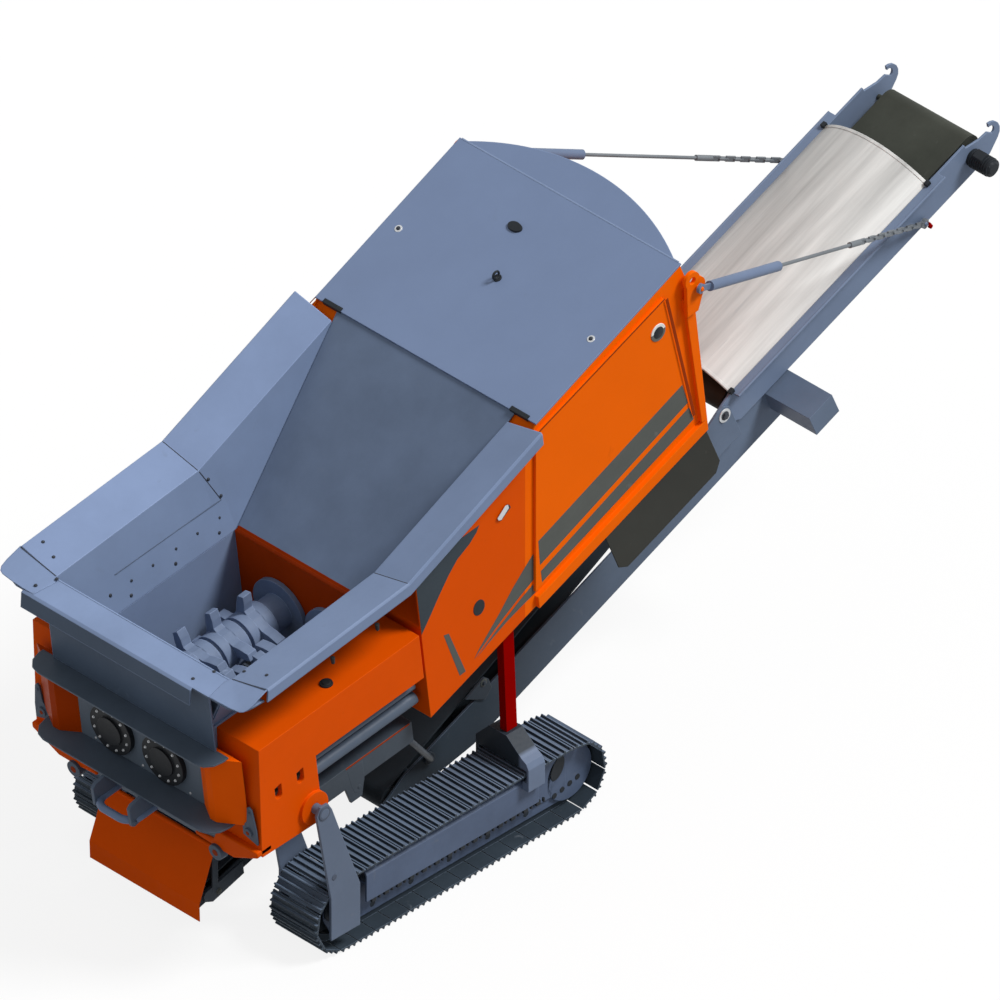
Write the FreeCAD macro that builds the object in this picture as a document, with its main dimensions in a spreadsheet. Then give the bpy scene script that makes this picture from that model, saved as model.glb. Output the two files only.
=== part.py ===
import FreeCAD, Part
import math
import os

import Sketcher
from FreeCAD import Placement, Rotation, Vector

# A tracked mobile twin-shaft crusher: two crawler tracks, a crushing box with two
# toothed rotors under a sheet-steel hopper, an engine housing behind it, and a
# discharge conveyor that folds up on a pair of stays. Millimetres, +X towards the
# discharge end, +Z up, origin on the ground under the middle of the machine.
#
# The tracks stand level. Everything they carry is tilted by one lift angle about
# the pins of the two front stands, so it is drawn square in the deck frame, whose
# origin is that pin line. The conveyor has two frames of its own at its fold bolts.

# Driving lengths: the tracks, the housing behind the hopper, and the folding conveyor.
# The housing's place behind the pins and all that hangs on its rear end follow from them.
track_length = 2670
housing_length = 2600
boom_length = 2747
pivot_ahead = 3005
housing_front = 1106
housing_rear = housing_front + housing_length

doc = FreeCAD.newDocument("Crusher")
sheet = doc.addObject("Spreadsheet::Sheet", "Sizes")
VALUES = {}


def size(alias, value, note):
    """Write one driving dimension into the sheet and keep its value by name."""
    row = len(VALUES) + 1
    sheet.set("A%d" % row, alias)
    sheet.set("B%d" % row, str(value))
    sheet.set("C%d" % row, note)
    sheet.setAlias("B%d" % row, alias)
    VALUES[alias] = value


# Placing of the tilted deck
size("pivot_ahead", pivot_ahead, "pins of the front stands, ahead of the origin")
size("pivot_height", 1210, "pins of the front stands, above the ground")
size("lift_angle", 7, "tilt of the deck, rear end up, in degrees")
size("seam", 0.3, "gap left between pieces that only lie on each other")

# Tracks
size("track_length", track_length, "over the grousers")
size("track_height", 575, "over the grousers")
size("track_inner", 690, "inner edge of the shoes, from the centre plane")
size("shoe_width", 423, "across the machine")
size("shoe_plate", 12, "thickness of a shoe")
size("grouser_height", 18, "above the shoe")
size("grouser_foot", 20, "grouser at the shoe")
size("grouser_tip", 9, "grouser at its edge")
size("shoe_gap", 9, "between two shoes on the straight")
size("shoe_count", 37, "shoes round one track")
size("chain_depth", 48, "chain links under the shoes")
size("chain_width", 150, "chain across the machine")
size("wheel_gap", 0.4, "wheel rim to chain")
size("wheel_width", 70, "idler and sprocket")
size("wheel_hub", 95, "radius of the wheel hubs")
size("roller_radius", 62, "track rollers")
size("roller_count", 5, "bottom rollers in one track")
size("axle_radius", 24, "roller and wheel axles")
size("beam_inner", 770, "inner face of the track beam")
size("beam_outer", 1000, "outer cheek of the track beam")
size("beam_low", 150, "foot of the legs on the track beam")
size("cheek_low", 90, "underside of the cheeks, round the roller axles")
size("beam_high", 405, "top of the track beam")
size("beam_wall", 14, "plates of the beam")
size("skin_outer", 1080, "outer face of the skin outside the cheeks")
size("skin_low", 258, "underside of the skin")
size("skin_high", 468, "where the skin's sloped shoulder starts")
size("skin_top", 528, "top of the shoulder, under the shoes")
size("skin_in", 1014, "inner edge of the shoulder")

# Front stands and rear lifting arch
size("stand_plate", 20, "plates of the front stand")
size("stand_outer", 1136, "outer face of the outer stand plate")
size("stand_inner", 655.3, "inner face of the inner stand plate")
size("stand_foot", 130, "half width of the stand at the track")
size("stand_foot_ahead", 190, "middle of the foot, behind the pin")
size("stand_head", 68, "radius of the stand's head")
size("stand_low", 170, "foot of the stand plates above the ground")
size("pin_radius", 36, "tilt pin")
size("arch_behind", 1925, "lifting arch, behind the stand pins")
size("arch_width", 150, "along the track")
size("arch_high", 785, "ridge of the arch above the ground")
size("arch_plate", 25, "inner leg of the arch")
size("arch_skin", 18, "outer leg of the arch")
size("arch_inner", 655, "inner face of the inner leg")
size("arch_outer", 1136, "outer face of the outer leg")
size("arch_clear", 17, "arch over the shoes")
size("prop_width", 95, "locking channel across")
size("prop_depth", 60, "locking channel, front to back")
size("prop_wall", 9, "its plate")
size("prop_place", 880, "middle of the prop from the centre plane")
size("ram_radius", 21, "lift ram rod inside the prop")
size("prop_lean", 2.5, "prop leans forward, in degrees")
size("prop_length", 860, "from the arch to the housing floor")

# Crushing box
size("box_front", 500, "outer face of the front wall, ahead of the pins")
size("box_rear", 1060, "rear face of the box")
size("box_low", -200, "underside of the box")
size("box_top", 750, "top of the box")
size("box_half", 650, "outer face of the side walls")
size("box_wall", 28, "walls of the box")
size("shelf_half", 845, "half length of the front shelves")
size("shelf_depth", 182, "how far the upper shelf stands out")
size("lower_shelf_depth", 205, "how far the lower shelf stands out")
size("shelf_round", 130, "rounding of the shelf ends")
size("shelf_plate", 12, "thickness")
size("upper_shelf", 650, "height above the pins")
size("lower_shelf", 100, "height above the pins")
size("cover_radius", 185, "bearing covers")
size("cover_depth", 36, "bearing covers")
size("cover_boss", 105, "radius of the raised middle")
size("cover_boss_depth", 16, "raised middle")
size("bail_half", 165, "half width of the towing bail")
size("bail_reach", 308, "how far the bail stands out of the front wall")
size("bail_tube", 27, "radius of the bail's bar")
size("bail_height", -75, "height of the bail, from the pins")

# Rotors
size("rotor_place", 237, "rotor axis from the centre plane")
size("rotor_height", 315, "rotor axis above the pins")
size("shaft_radius", 126, "under the blades")
size("blade_hub", 150, "radius of the blade's hub")
size("hub_width", 216, "hub along the shaft")
size("blade_tip", 288, "radius to the finger tips")
size("blade_width", 74, "fingers along the shaft")
size("blade_pitch", 244, "from blade to blade on one shaft")
size("blade_count", 5, "blades on one shaft")
size("blade_teeth", 4, "fingers on one blade")
size("blade_twist", 12, "turn from blade to blade, in degrees")
size("first_blade", 352, "middle of the first blade, ahead of the pins")
size("end_disc", 228, "radius of the rear end disc")
size("end_disc_width", 34, "rear end disc")
size("rotor_gap", 8, "blades and discs to the box walls")
size("journal_radius", 60, "shaft ends in the walls of the box")
size("journal_gap", 0.1, "round the shaft ends")

# Side boxes
size("side_outer", 1030, "outer face of the orange side boxes")
size("side_front", 470, "front of the side boxes ahead of the pins")
size("side_top", 735, "top edge above the pins")
size("side_step", 380, "underside of the long rear part")
size("side_low", -55, "underside of the deep front part")
size("side_deep_end", 75, "rear end of the deep front part")
size("side_lean", 70, "lean of the front edge")
size("slot_width", 62, "pockets in the side")
size("slot_height", 98, "pockets in the side")
size("slot_depth", 40, "pockets in the side")
size("slot_first", -273, "first pocket from the pins")
size("slot_second", -74, "second pocket from the pins")
size("slot_middle", 302, "height of the pockets")
size("collar_radius", 118, "round collar about the tilt pin")
size("collar_depth", 22, "how far it stands proud")
size("post_reach", 78, "how far the orange corner posts stand out of the front wall")

# Chassis under the crushing box
size("rail_outer", 870, "outer face of the chassis rails")
size("rail_width", 75, "rail across")
size("rail_low", -235, "underside of the rails")
size("rail_high", -70, "top of the rails")
size("rail_front", 440, "front end of the rails ahead of the pins")
size("rail_rear", 1050, "rear end of the rails")
size("cross_radius", 38, "cross tubes")
size("strut_foot", -2990, "foot of the struts along the lower conveyor")
size("strut_radius", 22, "struts from the rails to the lower conveyor")
size("pipe_radius", 46, "long pipes beside the box")
size("pipe_small", 34, "upper pipe")
size("pipe_place", 905, "pipes from the centre plane")
size("pipe_height", 150, "lower pipe above the pins")
size("pipe_step", 105, "from pipe to pipe")
size("flap_half", 500, "half width of the front flap")
size("flap_length", 405, "upper leaf of the flap")
size("flap_lip", 125, "lower leaf of the flap")
size("flap_plate", 8, "thickness")
size("flap_out", 28, "slope of the upper leaf against the deck, in degrees")
size("hinge_ahead", 407, "flap hinge ahead of the pins")
size("hinge_drop", 363, "flap hinge under the pins")
size("hinge_radius", 15, "knuckles of the flap hinge")
size("hinge_pin", 8, "pin of the flap hinge")
size("hinge_gap", 0.3, "knuckle bore over the pin")

# Hopper
size("sheet_plate", 12, "hopper and wing sheets")
size("hopper_half", 800, "fold between the hopper wall and its wing")
size("hopper_foot", 622, "foot of the hopper walls on the box")
size("wing_outer", 1130, "outer edge of the wings")
size("wing_rise", 80, "outer edge above the fold")
size("wing_lip", 95, "turned-down lip of the wings")
size("wing_front", 357, "front end of the wings ahead of the pins")
size("wing_knee", 946, "knee of the wings behind the pins")
size("wing_end", 2208, "rear end of the wings")
size("wing_low", 1190, "wings at the front")
size("wing_knee_height", 1224, "wings at the knee")
size("wing_high", 1653, "wings at the rear")
size("front_lip", 565, "front flange ahead of the pins")
size("front_wall_head", 352, "front hopper wall at the top, ahead of the pins")
size("front_wall_foot", 440, "front hopper wall at the foot")
size("flange_drop", 24.3, "front flange under the wings")
size("flange_round", 130, "rounded corners of the flange")
size("lip_drop", 112, "rolled lip of the front flange, downwards")
size("lip_out", 42, "rolled lip of the front flange, forwards")
size("lip_near", 650, "end of the lip on the right")
size("lip_far", 890, "end of the lip on the left")
size("panel_half", 740, "half width of the front panel under the flange")
size("slope_foot", 1052, "foot of the rear slope behind the pins")

# Hood and engine housing
size("hood_front", 2274, "front edge of the hood behind the pins")
size("hood_front_height", 1690, "and its height")
size("housing_wall", 26, "roof, floor and ends of the housing")
size("hood_angle", 17.6, "slope against the deck, in degrees")
size("hood_half", 1003, "half width")
size("hood_length", housing_length - 1150, "straight part")
size("visor_reach", 255, "round visor past it")
size("hood_plate", 14, "thickness")
size("housing_front", housing_front, "front of the housing behind the pins")
size("housing_low", -5, "its lower front corner")
size("housing_shoulder", 1235, "its upper front corner")
size("housing_rear", housing_rear, "its rear face")
size("housing_rear_low", 724, "its lower rear corner")
size("housing_half", 1000, "half width over the side panels")
size("panel_plate", 12, "side panels and ends")
size("frame_proud", 34, "how far the side frame stands out")
size("frame_width", 88, "side frame round the door")
size("door_proud", 22, "thickness of the doors")
size("door_gap", 8, "round the doors")
size("door_front", 2029, "front edge of the doors, behind the pins, level")
size("door_front_low", 655, "lower front corner above the pins, level")
size("door_front_high", 1904, "upper front corner")
size("door_rear_low_x", housing_rear - 216, "lower rear corner")
size("door_rear_low", 1330, "lower rear corner")
size("door_rear_high_x", housing_rear - 471, "upper rear corner")
size("door_rear_high", 2395, "upper rear corner")
size("skirt_front", 2742, "black side skirt")
size("skirt_flare", 126, "how far the skirt stands out at its foot")
size("skirt_drop", 253, "how deep it hangs")
size("skirt_plate", 8, "thickness")
size("lug_radius", 72, "rear lifting lugs")
size("lug_plate", 30, "thickness")
size("lug_x", housing_rear + 12, "lug behind the pins")
size("lug_z", 1935, "lug above the pins")
size("lug_hole", 27, "radius of the free lifting hole")
size("lug_hole_up", 70, "lifting hole above the stay pin")
size("lug_hole_ahead", 35, "lifting hole ahead of the stay pin")
size("stay_pin", 12, "radius of the stay pins")
size("stay_ball", 20, "radius of the ball on each stay pin")

# Conveyor
size("fold_x", 1285, "fold bolts behind the origin")
size("fold_z", 1870, "fold bolts above the ground")
size("boom_angle", 22.6, "slope of the upper conveyor, in degrees")
size("tail_angle", 23.2, "slope of the lower conveyor, in degrees")
size("fold_pin", 20, "radius of the fold bolts")
size("fold_head", 34, "radius of their heads")
size("boom_half", 470, "outer faces of the upper side plates")
size("boom_plate", 16, "thickness of the side plates")
size("boom_flange", 60, "flange on top of the side plates")
size("boom_low", -178, "underside of the upper side plates")
size("boom_high", 88, "top of the upper side plates")
size("boom_start", -60, "lower end of the upper side plates")
size("boom_end", boom_length - 302, "upper end of the upper side plates")
size("hook_reach", boom_length, "end of the head hooks")
size("hook_bend", 92, "outer radius of the head hooks")
size("hook_throat", 36, "radius of the hook's throat")
size("drum_radius", 78, "belt drums")
size("belt_thick", 12, "thickness")
size("belt_half", 370, "half width of the belts")
size("upper_tail", 150, "tail drum of the upper belt")
size("upper_head", boom_length - 222, "head drum of the upper belt")
size("upper_drum", -92, "drum axes of the upper belt")
size("cover_start", 115, "lower end of the arched cover")
size("cover_end", boom_length - 655, "upper end of the arched cover")
size("cover_rise", 172, "rise of the arch")
size("cover_sheet", 5, "thickness")
size("motor_radius", 62, "belt motor")
size("motor_length", 180, "belt motor")
size("lower_half", 430, "outer faces of the lower side plates")
size("lower_low", -510, "underside of the lower side plates")
size("lower_high", -200, "top of the lower side plates")
size("lower_end", 420, "upper end of the lower side plates")
size("lower_tail", -3460, "tail end of the lower side plates")
size("lower_taper", -2650, "where the underside starts to rise")
size("tail_low", -345, "underside at the tail")
size("belt_tail", -3330, "tail drum of the lower belt")
size("belt_tail_drum", -330, "its height")
size("belt_head", -330, "head drum of the lower belt")
size("belt_head_drum", -60, "its height")
size("bracket_width", 340, "fold brackets along the conveyor")
size("bracket_plate", 18, "thickness")
size("stub_length", 420, "drive housing beside the conveyor")
size("stub_width", 225, "along the conveyor")
size("stub_height", 175, "across it")
size("stub_lift", 120, "its underside above the underside of the side plates")
size("feed_tail", 2514, "tail end of the feed belt ahead of the origin")
size("feed_low", 385, "its drum above the ground")
size("feed_length", 1480, "along the belt")
size("feed_angle", 16.5, "slope, in degrees")
size("feed_drum", 62, "radius")
size("feed_half", 400, "half width of the belt")
size("feed_arm", 85, "depth of its side arms")
size("feed_plate", 14, "thickness")

# Stays
size("shackle_along", 1924, "shackle pins along the upper conveyor")
size("shackle_height", -132, "and across it")
size("shackle_place", 500, "shackle pins from the centre plane")
size("stay_stand", 30, "middle of the stays outside the lug plates")
size("barrel_radius", 34, "ram barrel of the stay")
size("barrel_bore", 26, "radius of its bore")
size("barrel_length", 1010, "from pin to mouth")
size("barrel_floor", 140, "from pin to the foot of the bore")
size("rod_radius", 12, "ram rod")
size("rod_start", 955, "inner end of the rod from the pin")
size("rod_end", 1960, "outer end of the rod from the pin")
size("fork_length", 130, "fork at the end of the rod")
size("link_pitch", 62, "chain")
size("link_wide", 19, "half width of a link")
size("link_thin", 7, "half thickness of a link")

doc.recompute()


def read(alias):
    return VALUES[alias]


def frame(x, z, angle, side_shift="0"):
    """Expression for a frame set back by x, up by z and pitched up at its rear end."""
    return "placement(vector(%s; %s; %s); rotation(vector(0; -1; 0); %s))" % (x, side_shift, z, angle)


DECK = frame("-pivot_ahead", "pivot_height", "lift_angle")
PINS = frame("-pivot_ahead", "pivot_height", "0")
HOOD = DECK + " * " + frame("hood_front", "hood_front_height", "hood_angle")
BOOM = frame("fold_x", "fold_z", "boom_angle")
TAIL = frame("fold_x", "fold_z", "tail_angle")

TURNED = {"XZ": "XZ_Plane", "YZ": "YZ_Plane", "XY": "XY_Plane"}


def names(text):
    """Put the sheet's name in front of every alias in an expression."""
    words = []
    word = ""
    for letter in text + " ":
        if letter.isalnum() or letter == "_":
            word += letter
            continue
        if word:
            words.append("Sizes." + word if word in VALUES else word)
            word = ""
        words.append(letter)
    return "".join(words).strip()


def hold(obj, prop, text):
    obj.setExpression(prop, names(text))


def plane_of(body, plane):
    for item in body.Origin.OriginFeatures:
        if item.Role == TURNED[plane]:
            return item
    raise RuntimeError("no plane " + plane)


def closed_outline(sketch, corners):
    """Straight edges through the corners, each corner held by two sizes."""
    count = len(corners)
    ring = [Vector(math.cos(2 * math.pi * k / count), math.sin(2 * math.pi * k / count), 0) for k in range(count)]
    for k in range(count):
        sketch.addGeometry(Part.LineSegment(ring[k], ring[(k + 1) % count]))
    sketch.addConstraint([Sketcher.Constraint("Coincident", k, 2, (k + 1) % count, 1) for k in range(count)])
    for k, (across, up) in enumerate(corners):
        for kind, text in (("DistanceX", across), ("DistanceY", up)):
            index = sketch.addConstraint(Sketcher.Constraint(kind, -1, 1, k, 1, 0.0))
            hold(sketch, "Constraints[%d]" % index, text)


def plate(name, plane, corners, low, high, place=DECK):
    """A flat plate: an outline in one plane, padded from low to high along its normal."""
    body = doc.addObject("PartDesign::Body", name)
    sketch = body.newObject("Sketcher::SketchObject", name + "_outline")
    sketch.AttachmentSupport = [(plane_of(body, plane), "")]
    sketch.MapMode = "FlatFace"
    closed_outline(sketch, corners)
    start = "-(%s)" % high if plane == "XZ" else low
    hold(sketch, "AttachmentOffset.Base.z", start)
    pad = body.newObject("PartDesign::Pad", name + "_pad")
    pad.Profile = sketch
    hold(pad, "Length", "(%s) - (%s)" % (high, low))
    sketch.Visibility = False
    hold(body, "Placement", place)
    return body


def spread(name, plane, corners, inner, outer, side, place=DECK):
    """A plate on one side of the machine, between two distances from the centre plane."""
    if side > 0:
        return plate(name, plane, corners, inner, outer, place)
    return plate(name, plane, corners, "-(%s)" % outer, "-(%s)" % inner, place)


def rod(name, radius, length, place, at=("0", "0", "0"), axis="Y"):
    """A round bar starting at a point and running along an axis."""
    turn = {
        "Y": "rotation(vector(1; 0; 0); -90)",
        "X": "rotation(vector(0; 1; 0); 90)",
        "Z": "rotation(vector(0; 0; 1); 0)",
    }[axis]
    bar = doc.addObject("Part::Cylinder", name)
    hold(bar, "Radius", radius)
    hold(bar, "Height", length)
    local = "placement(vector(%s; %s; %s); %s)" % (at[0], at[1], at[2], turn)
    hold(bar, "Placement", place + " * " + local)
    return bar


def ball(name, place, x, y, z):
    """The ball of a stay pin, which lets the eye on it swing and tilt."""
    sphere = doc.addObject("Part::Sphere", name)
    hold(sphere, "Radius", "stay_ball")
    hold(sphere, "Placement", place + " * placement(vector(%s; %s; %s); rotation(vector(0; 0; 1); 0))" % (x, y, z))
    return sphere


def side_rod(name, radius, inner, outer, side, place, x, z):
    """A round bar across one side of the machine."""
    start = inner if side > 0 else "-(%s)" % outer
    return rod(name, radius, "(%s) - (%s)" % (outer, inner), place, (x, start, z), "Y")


def join(name, parts):
    """Weld touching pieces into one solid."""
    weld = doc.addObject("Part::MultiFuse", name)
    weld.Shapes = parts
    weld.Refine = True
    return weld


def group(name, parts):
    """Keep separate like pieces in one sub-part."""
    bundle = doc.addObject("Part::Compound", name)
    bundle.Links = parts
    return bundle


def trim(name, base, tools):
    """Take the tools away from the base."""
    tool = tools[0] if len(tools) == 1 else join(name + "_tools", tools)
    cut = doc.addObject("Part::Cut", name)
    cut.Base = base
    cut.Tool = tool
    return cut


def ready(name, shape, place=None):
    """A sub-part whose shape is worked out here."""
    feature = doc.addObject("Part::Feature", name)
    feature.Shape = shape
    if place is not None:
        feature.Placement = place
    return feature


NODES = []


def keep(obj, label):
    obj.Label = label
    NODES.append(obj)
    return obj


def side_name(side):
    return "left" if side > 0 else "right"


def pitched(x, z, degrees):
    """Placement of a frame pitched up at its rear end."""
    return Placement(Vector(x, 0, z), Rotation(Vector(0, -1, 0), degrees))


DECK_PLACE = pitched(-read("pivot_ahead"), read("pivot_height"), read("lift_angle"))
BOOM_PLACE = pitched(read("fold_x"), read("fold_z"), read("boom_angle"))


def prism(points, low, high):
    """A solid over an outline of (x, z) points, between two distances across."""
    wire = Part.makePolygon([Vector(x, low, z) for x, z in points] + [Vector(points[0][0], low, points[0][1])])
    return Part.Face(wire).extrude(Vector(0, high - low, 0))


# Track belts: shoes with three grousers each, on a chain whose links are the flats
# that the shoes are bolted to. This is one loop of shoe_count equal links.


def track_middle():
    """X of the track's middle and the height of its middle."""
    front = -read("pivot_ahead") - 70
    return front + read("track_length") / 2, read("track_height") / 2


def loop_point(along, straight, radius):
    """A point at a distance along a loop of two straights and two half circles."""
    half_turn = math.pi * radius
    along = along % (2 * straight + 2 * half_turn)
    if along < straight:
        return Vector(-straight / 2 + along, 0, radius)
    along -= straight
    if along < half_turn:
        turn = along / radius
        return Vector(straight / 2 + radius * math.sin(turn), 0, radius * math.cos(turn))
    along -= half_turn
    if along < straight:
        return Vector(straight / 2 - along, 0, -radius)
    turn = (along - straight) / radius
    return Vector(-straight / 2 - radius * math.sin(turn), 0, -radius * math.cos(turn))


def chain_radius():
    return read("track_height") / 2 - read("shoe_plate") - read("grouser_height")


def chain_pitch():
    straight = read("track_length") - read("track_height")
    return (2 * straight + 2 * math.pi * chain_radius()) / read("shoe_count")


def flat_to_middle():
    """Height of a link's flat above the wheel's middle where the chain goes round."""
    return chain_radius() * math.cos(chain_pitch() / chain_radius() / 2)


def track_corners():
    """Corners of the chain's outer side, one at each link pin."""
    radius = chain_radius()
    straight = read("track_length") - read("track_height")
    count = int(read("shoe_count"))
    pitch = chain_pitch()
    start = straight / 2 - pitch / 2
    return [loop_point(start + k * pitch, straight, radius) for k in range(count)]


def shoe_outline(length):
    """Profile of one shoe along its link: a plate with three grousers."""
    gap = read("shoe_gap") / 2
    top = read("shoe_plate")
    tall = top + read("grouser_height")
    foot = read("grouser_foot") / 2
    tip = read("grouser_tip") / 2
    points = [(gap, 0), (gap, top)]
    for middle in (0.18, 0.5, 0.82):
        centre = middle * length
        points += [(centre - foot, top), (centre - tip, tall), (centre + tip, tall), (centre + foot, top)]
    points += [(length - gap, top), (length - gap, 0)]
    return points


def track_belt(side):
    corners = track_corners()
    inner = read("track_inner")
    low = inner if side > 0 else -inner - read("shoe_width")
    high = low + read("shoe_width")
    middle = (low + high) / 2
    chain = (middle - read("chain_width") / 2, middle + read("chain_width") / 2)
    inside = []
    for k, corner in enumerate(corners):
        before = (corner - corners[k - 1]).normalize()
        after = (corners[(k + 1) % len(corners)] - corner).normalize()
        bisector = (Vector(-before.z, 0, before.x) + Vector(-after.z, 0, after.x)).normalize()
        half_turn = before.getAngle(after) / 2
        inside.append(corner - bisector * (read("chain_depth") / math.cos(half_turn)))
    ring = prism([(point.x, point.z) for point in corners], chain[0], chain[1])
    ring = ring.cut(prism([(point.x, point.z) for point in inside], chain[0], chain[1]))
    shoes = []
    for k, start in enumerate(corners):
        end = corners[(k + 1) % len(corners)]
        along = (end - start).normalize()
        out = Vector(-along.z, 0, along.x)
        length = (end - start).Length
        points = [start + along * a + out * n for a, n in shoe_outline(length)]
        shoes.append(prism([(point.x, point.z) for point in points], low, high))
    belt = ring.fuse(shoes)
    x, z = track_middle()
    belt.translate(Vector(x, 0, z))
    return keep(ready("track_" + side_name(side), belt), "track_" + side_name(side))


# Track wheels: an idler in front, a toothed sprocket behind and bottom rollers,
# each on its own axle in the track beam.


def track_wheels(side):
    name = "track_wheels_" + side_name(side)
    x, z = track_middle()
    span = read("track_length") - read("track_height")
    middle = read("track_inner") + read("shoe_width") / 2
    radius = flat_to_middle() - read("chain_depth") - read("wheel_gap")
    half = read("wheel_width") / 2
    shapes = []

    def disc(at_x, at_z, wheel_radius, low, high):
        wheel = Part.makeCylinder(wheel_radius, high - low, Vector(at_x, low, at_z), Vector(0, 1, 0))
        return wheel if side > 0 else wheel.mirror(Vector(0, 0, 0), Vector(0, 1, 0))

    beam = (read("beam_inner") + read("seam"), read("beam_outer") - read("seam"))
    for at_x in (x - span / 2, x + span / 2):
        wheel = disc(at_x, z, radius, middle - half, middle + half)
        hub = disc(at_x, z, read("wheel_hub"), middle - 1.6 * half, middle + 1.6 * half)
        axle = disc(at_x, z, read("axle_radius"), beam[0], beam[1])
        shapes.append(wheel.fuse([hub, axle]).removeSplitter())
    low_run = read("shoe_plate") + read("grouser_height") + read("chain_depth")
    count = int(read("roller_count"))
    for k in range(count):
        at_x = x - span / 2 + span * (k + 1) / (count + 1)
        at_z = low_run + read("wheel_gap") + read("roller_radius")
        roller = disc(at_x, at_z, read("roller_radius"), middle - half, middle + half)
        axle = disc(at_x, at_z, read("axle_radius"), beam[0], beam[1])
        shapes.append(roller.fuse(axle).removeSplitter())
    return keep(ready(name, Part.makeCompound(shapes)), name)


def track_frame(side):
    """Track beam: two long cheeks tied by a top plate, and a skin with a sloped shoulder outside."""
    name = "track_frame_" + side_name(side)
    x, z = track_middle()
    span = read("track_length") - read("track_height")
    inner, outer, wall = read("beam_inner"), read("beam_outer"), read("beam_wall")
    low, high = read("cheek_low"), read("beam_high")
    ends = (x - span / 2 - 95, x + span / 2 + 95)
    cheek = [(ends[0], z - 60), (ends[0] + 70, low), (ends[1] - 70, low), (ends[1], z - 60),
             (ends[1], z + 60), (ends[1] - 95, high), (ends[0] + 95, high), (ends[0], z + 60)]
    clear = 95 + chain_radius()
    roof = Part.makeBox(ends[1] - ends[0] - 2 * clear, outer - inner - 2, wall,
                        Vector(ends[0] + clear, inner + 1, high - wall))
    skin = read("skin_outer")
    section = [(outer - 2, high - wall), (skin - wall, high - wall), (skin - wall, read("skin_low")),
               (skin, read("skin_low")), (skin, read("skin_high")), (read("skin_in"), read("skin_top")),
               (read("skin_in") - 9, read("skin_top") - 11), (skin - wall, read("skin_high") - 6),
               (skin - wall, high), (outer - 2, high)]
    first = ends[0] + clear - 40
    last = -read("pivot_ahead") + read("arch_behind") + read("arch_width") / 2
    ring = [Vector(first, y, up) for y, up in section]
    shoulder = Part.Face(Part.makePolygon(ring + ring[:1])).extrude(Vector(last - first, 0, 0))
    beam = prism(cheek, inner, inner + wall).fuse([prism(cheek, outer - wall, outer), roof, shoulder])
    holes = []
    hole = read("axle_radius") + read("seam")
    for at_x in (x - span / 2, x + span / 2):
        holes.append(Part.makeCylinder(hole, outer, Vector(at_x, inner - wall, z), Vector(0, 1, 0)))
    low_run = read("shoe_plate") + read("grouser_height") + read("chain_depth")
    count = int(read("roller_count"))
    for k in range(count):
        at_x = x - span / 2 + span * (k + 1) / (count + 1)
        at_z = low_run + read("wheel_gap") + read("roller_radius")
        holes.append(Part.makeCylinder(hole, outer - inner + wall, Vector(at_x, inner - wall, at_z), Vector(0, 1, 0)))
    beam = beam.cut(holes).removeSplitter()
    if side < 0:
        beam = beam.mirror(Vector(0, 0, 0), Vector(0, 1, 0))
    return keep(ready(name, beam), name)


# Front stands: two tall plates either side of each track's beam, welded to it,
# with the tilt pin across their heads.


def front_stand(side):
    name = "front_stand_" + side_name(side)
    foot = "stand_foot_ahead"
    low = "stand_low - pivot_height"
    corners = [(foot + " - stand_foot", low), (foot + " + stand_foot", low),
               (foot + " + stand_foot", low + " + 330"), ("stand_head", "0"),
               ("stand_head * 0.5", "stand_head * 0.85"), ("-stand_head * 0.5", "stand_head * 0.85"),
               ("-stand_head", "0"), (foot + " - stand_foot", low + " + 330")]
    outer = spread(name + "_outer", "XZ", corners, "stand_outer - stand_plate", "stand_outer", side, PINS)
    inner = spread(name + "_inner", "XZ", corners, "stand_inner", "stand_inner + stand_plate", side, PINS)
    block = [(foot + " - 70", low + " + 95"), (foot + " + 70", low + " + 95"), (foot + " + 70", low + " + 225"),
             (foot + " - 70", low + " + 225")]
    outer_block = spread(name + "_outer_block", "XZ", block, "skin_outer", "stand_outer - stand_plate", side, PINS)
    inner_block = spread(name + "_inner_block", "XZ", block, "stand_inner + stand_plate", "beam_inner", side, PINS)
    pin = side_rod(name + "_pin", "pin_radius", "stand_inner", "stand_outer + 6", side, PINS, "0", "0")
    return keep(join(name, [outer, inner, outer_block, inner_block, pin]), name)


def rear_arch(side):
    """Saddle over the track, sloping to both sides, that the lift ram stands on."""
    name = "rear_arch_" + side_name(side)
    place = frame("-pivot_ahead + arch_behind", "0", "0")
    under, foot = "track_height + arch_clear", "skin_high - 34"
    ring = [("arch_inner", "beam_low"), ("arch_inner", "arch_high - 125"), ("prop_place - 105", "arch_high"),
            ("prop_place + 52", "arch_high"), ("arch_outer - 62", "arch_high - 118"),
            ("arch_outer - 22", "arch_high - 138"), ("arch_outer", "arch_high - 180"), ("arch_outer", foot),
            ("arch_outer - arch_skin", foot), ("arch_outer - arch_skin", under),
            ("arch_inner + arch_plate", under), ("arch_inner + arch_plate", "beam_low")]
    if side < 0:
        ring = [("-(%s)" % y, z) for y, z in reversed(ring)]
    saddle = plate(name + "_saddle", "YZ", ring, "-arch_width / 2", "arch_width / 2", place)
    half = "arch_width / 2"
    feet = []
    for label, low, inner, outer in (("inner", "beam_low", "arch_inner + arch_plate", "beam_inner"),
                                     ("outer", foot, "skin_outer", "arch_outer - arch_skin")):
        block = [("-" + half, low), (half, low), (half, low + " + 64"), ("-" + half, low + " + 64")]
        feet.append(spread("%s_%s_foot" % (name, label), "XZ", block, inner, outer, side, place))
    return keep(join(name, [saddle] + feet), name)


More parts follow.
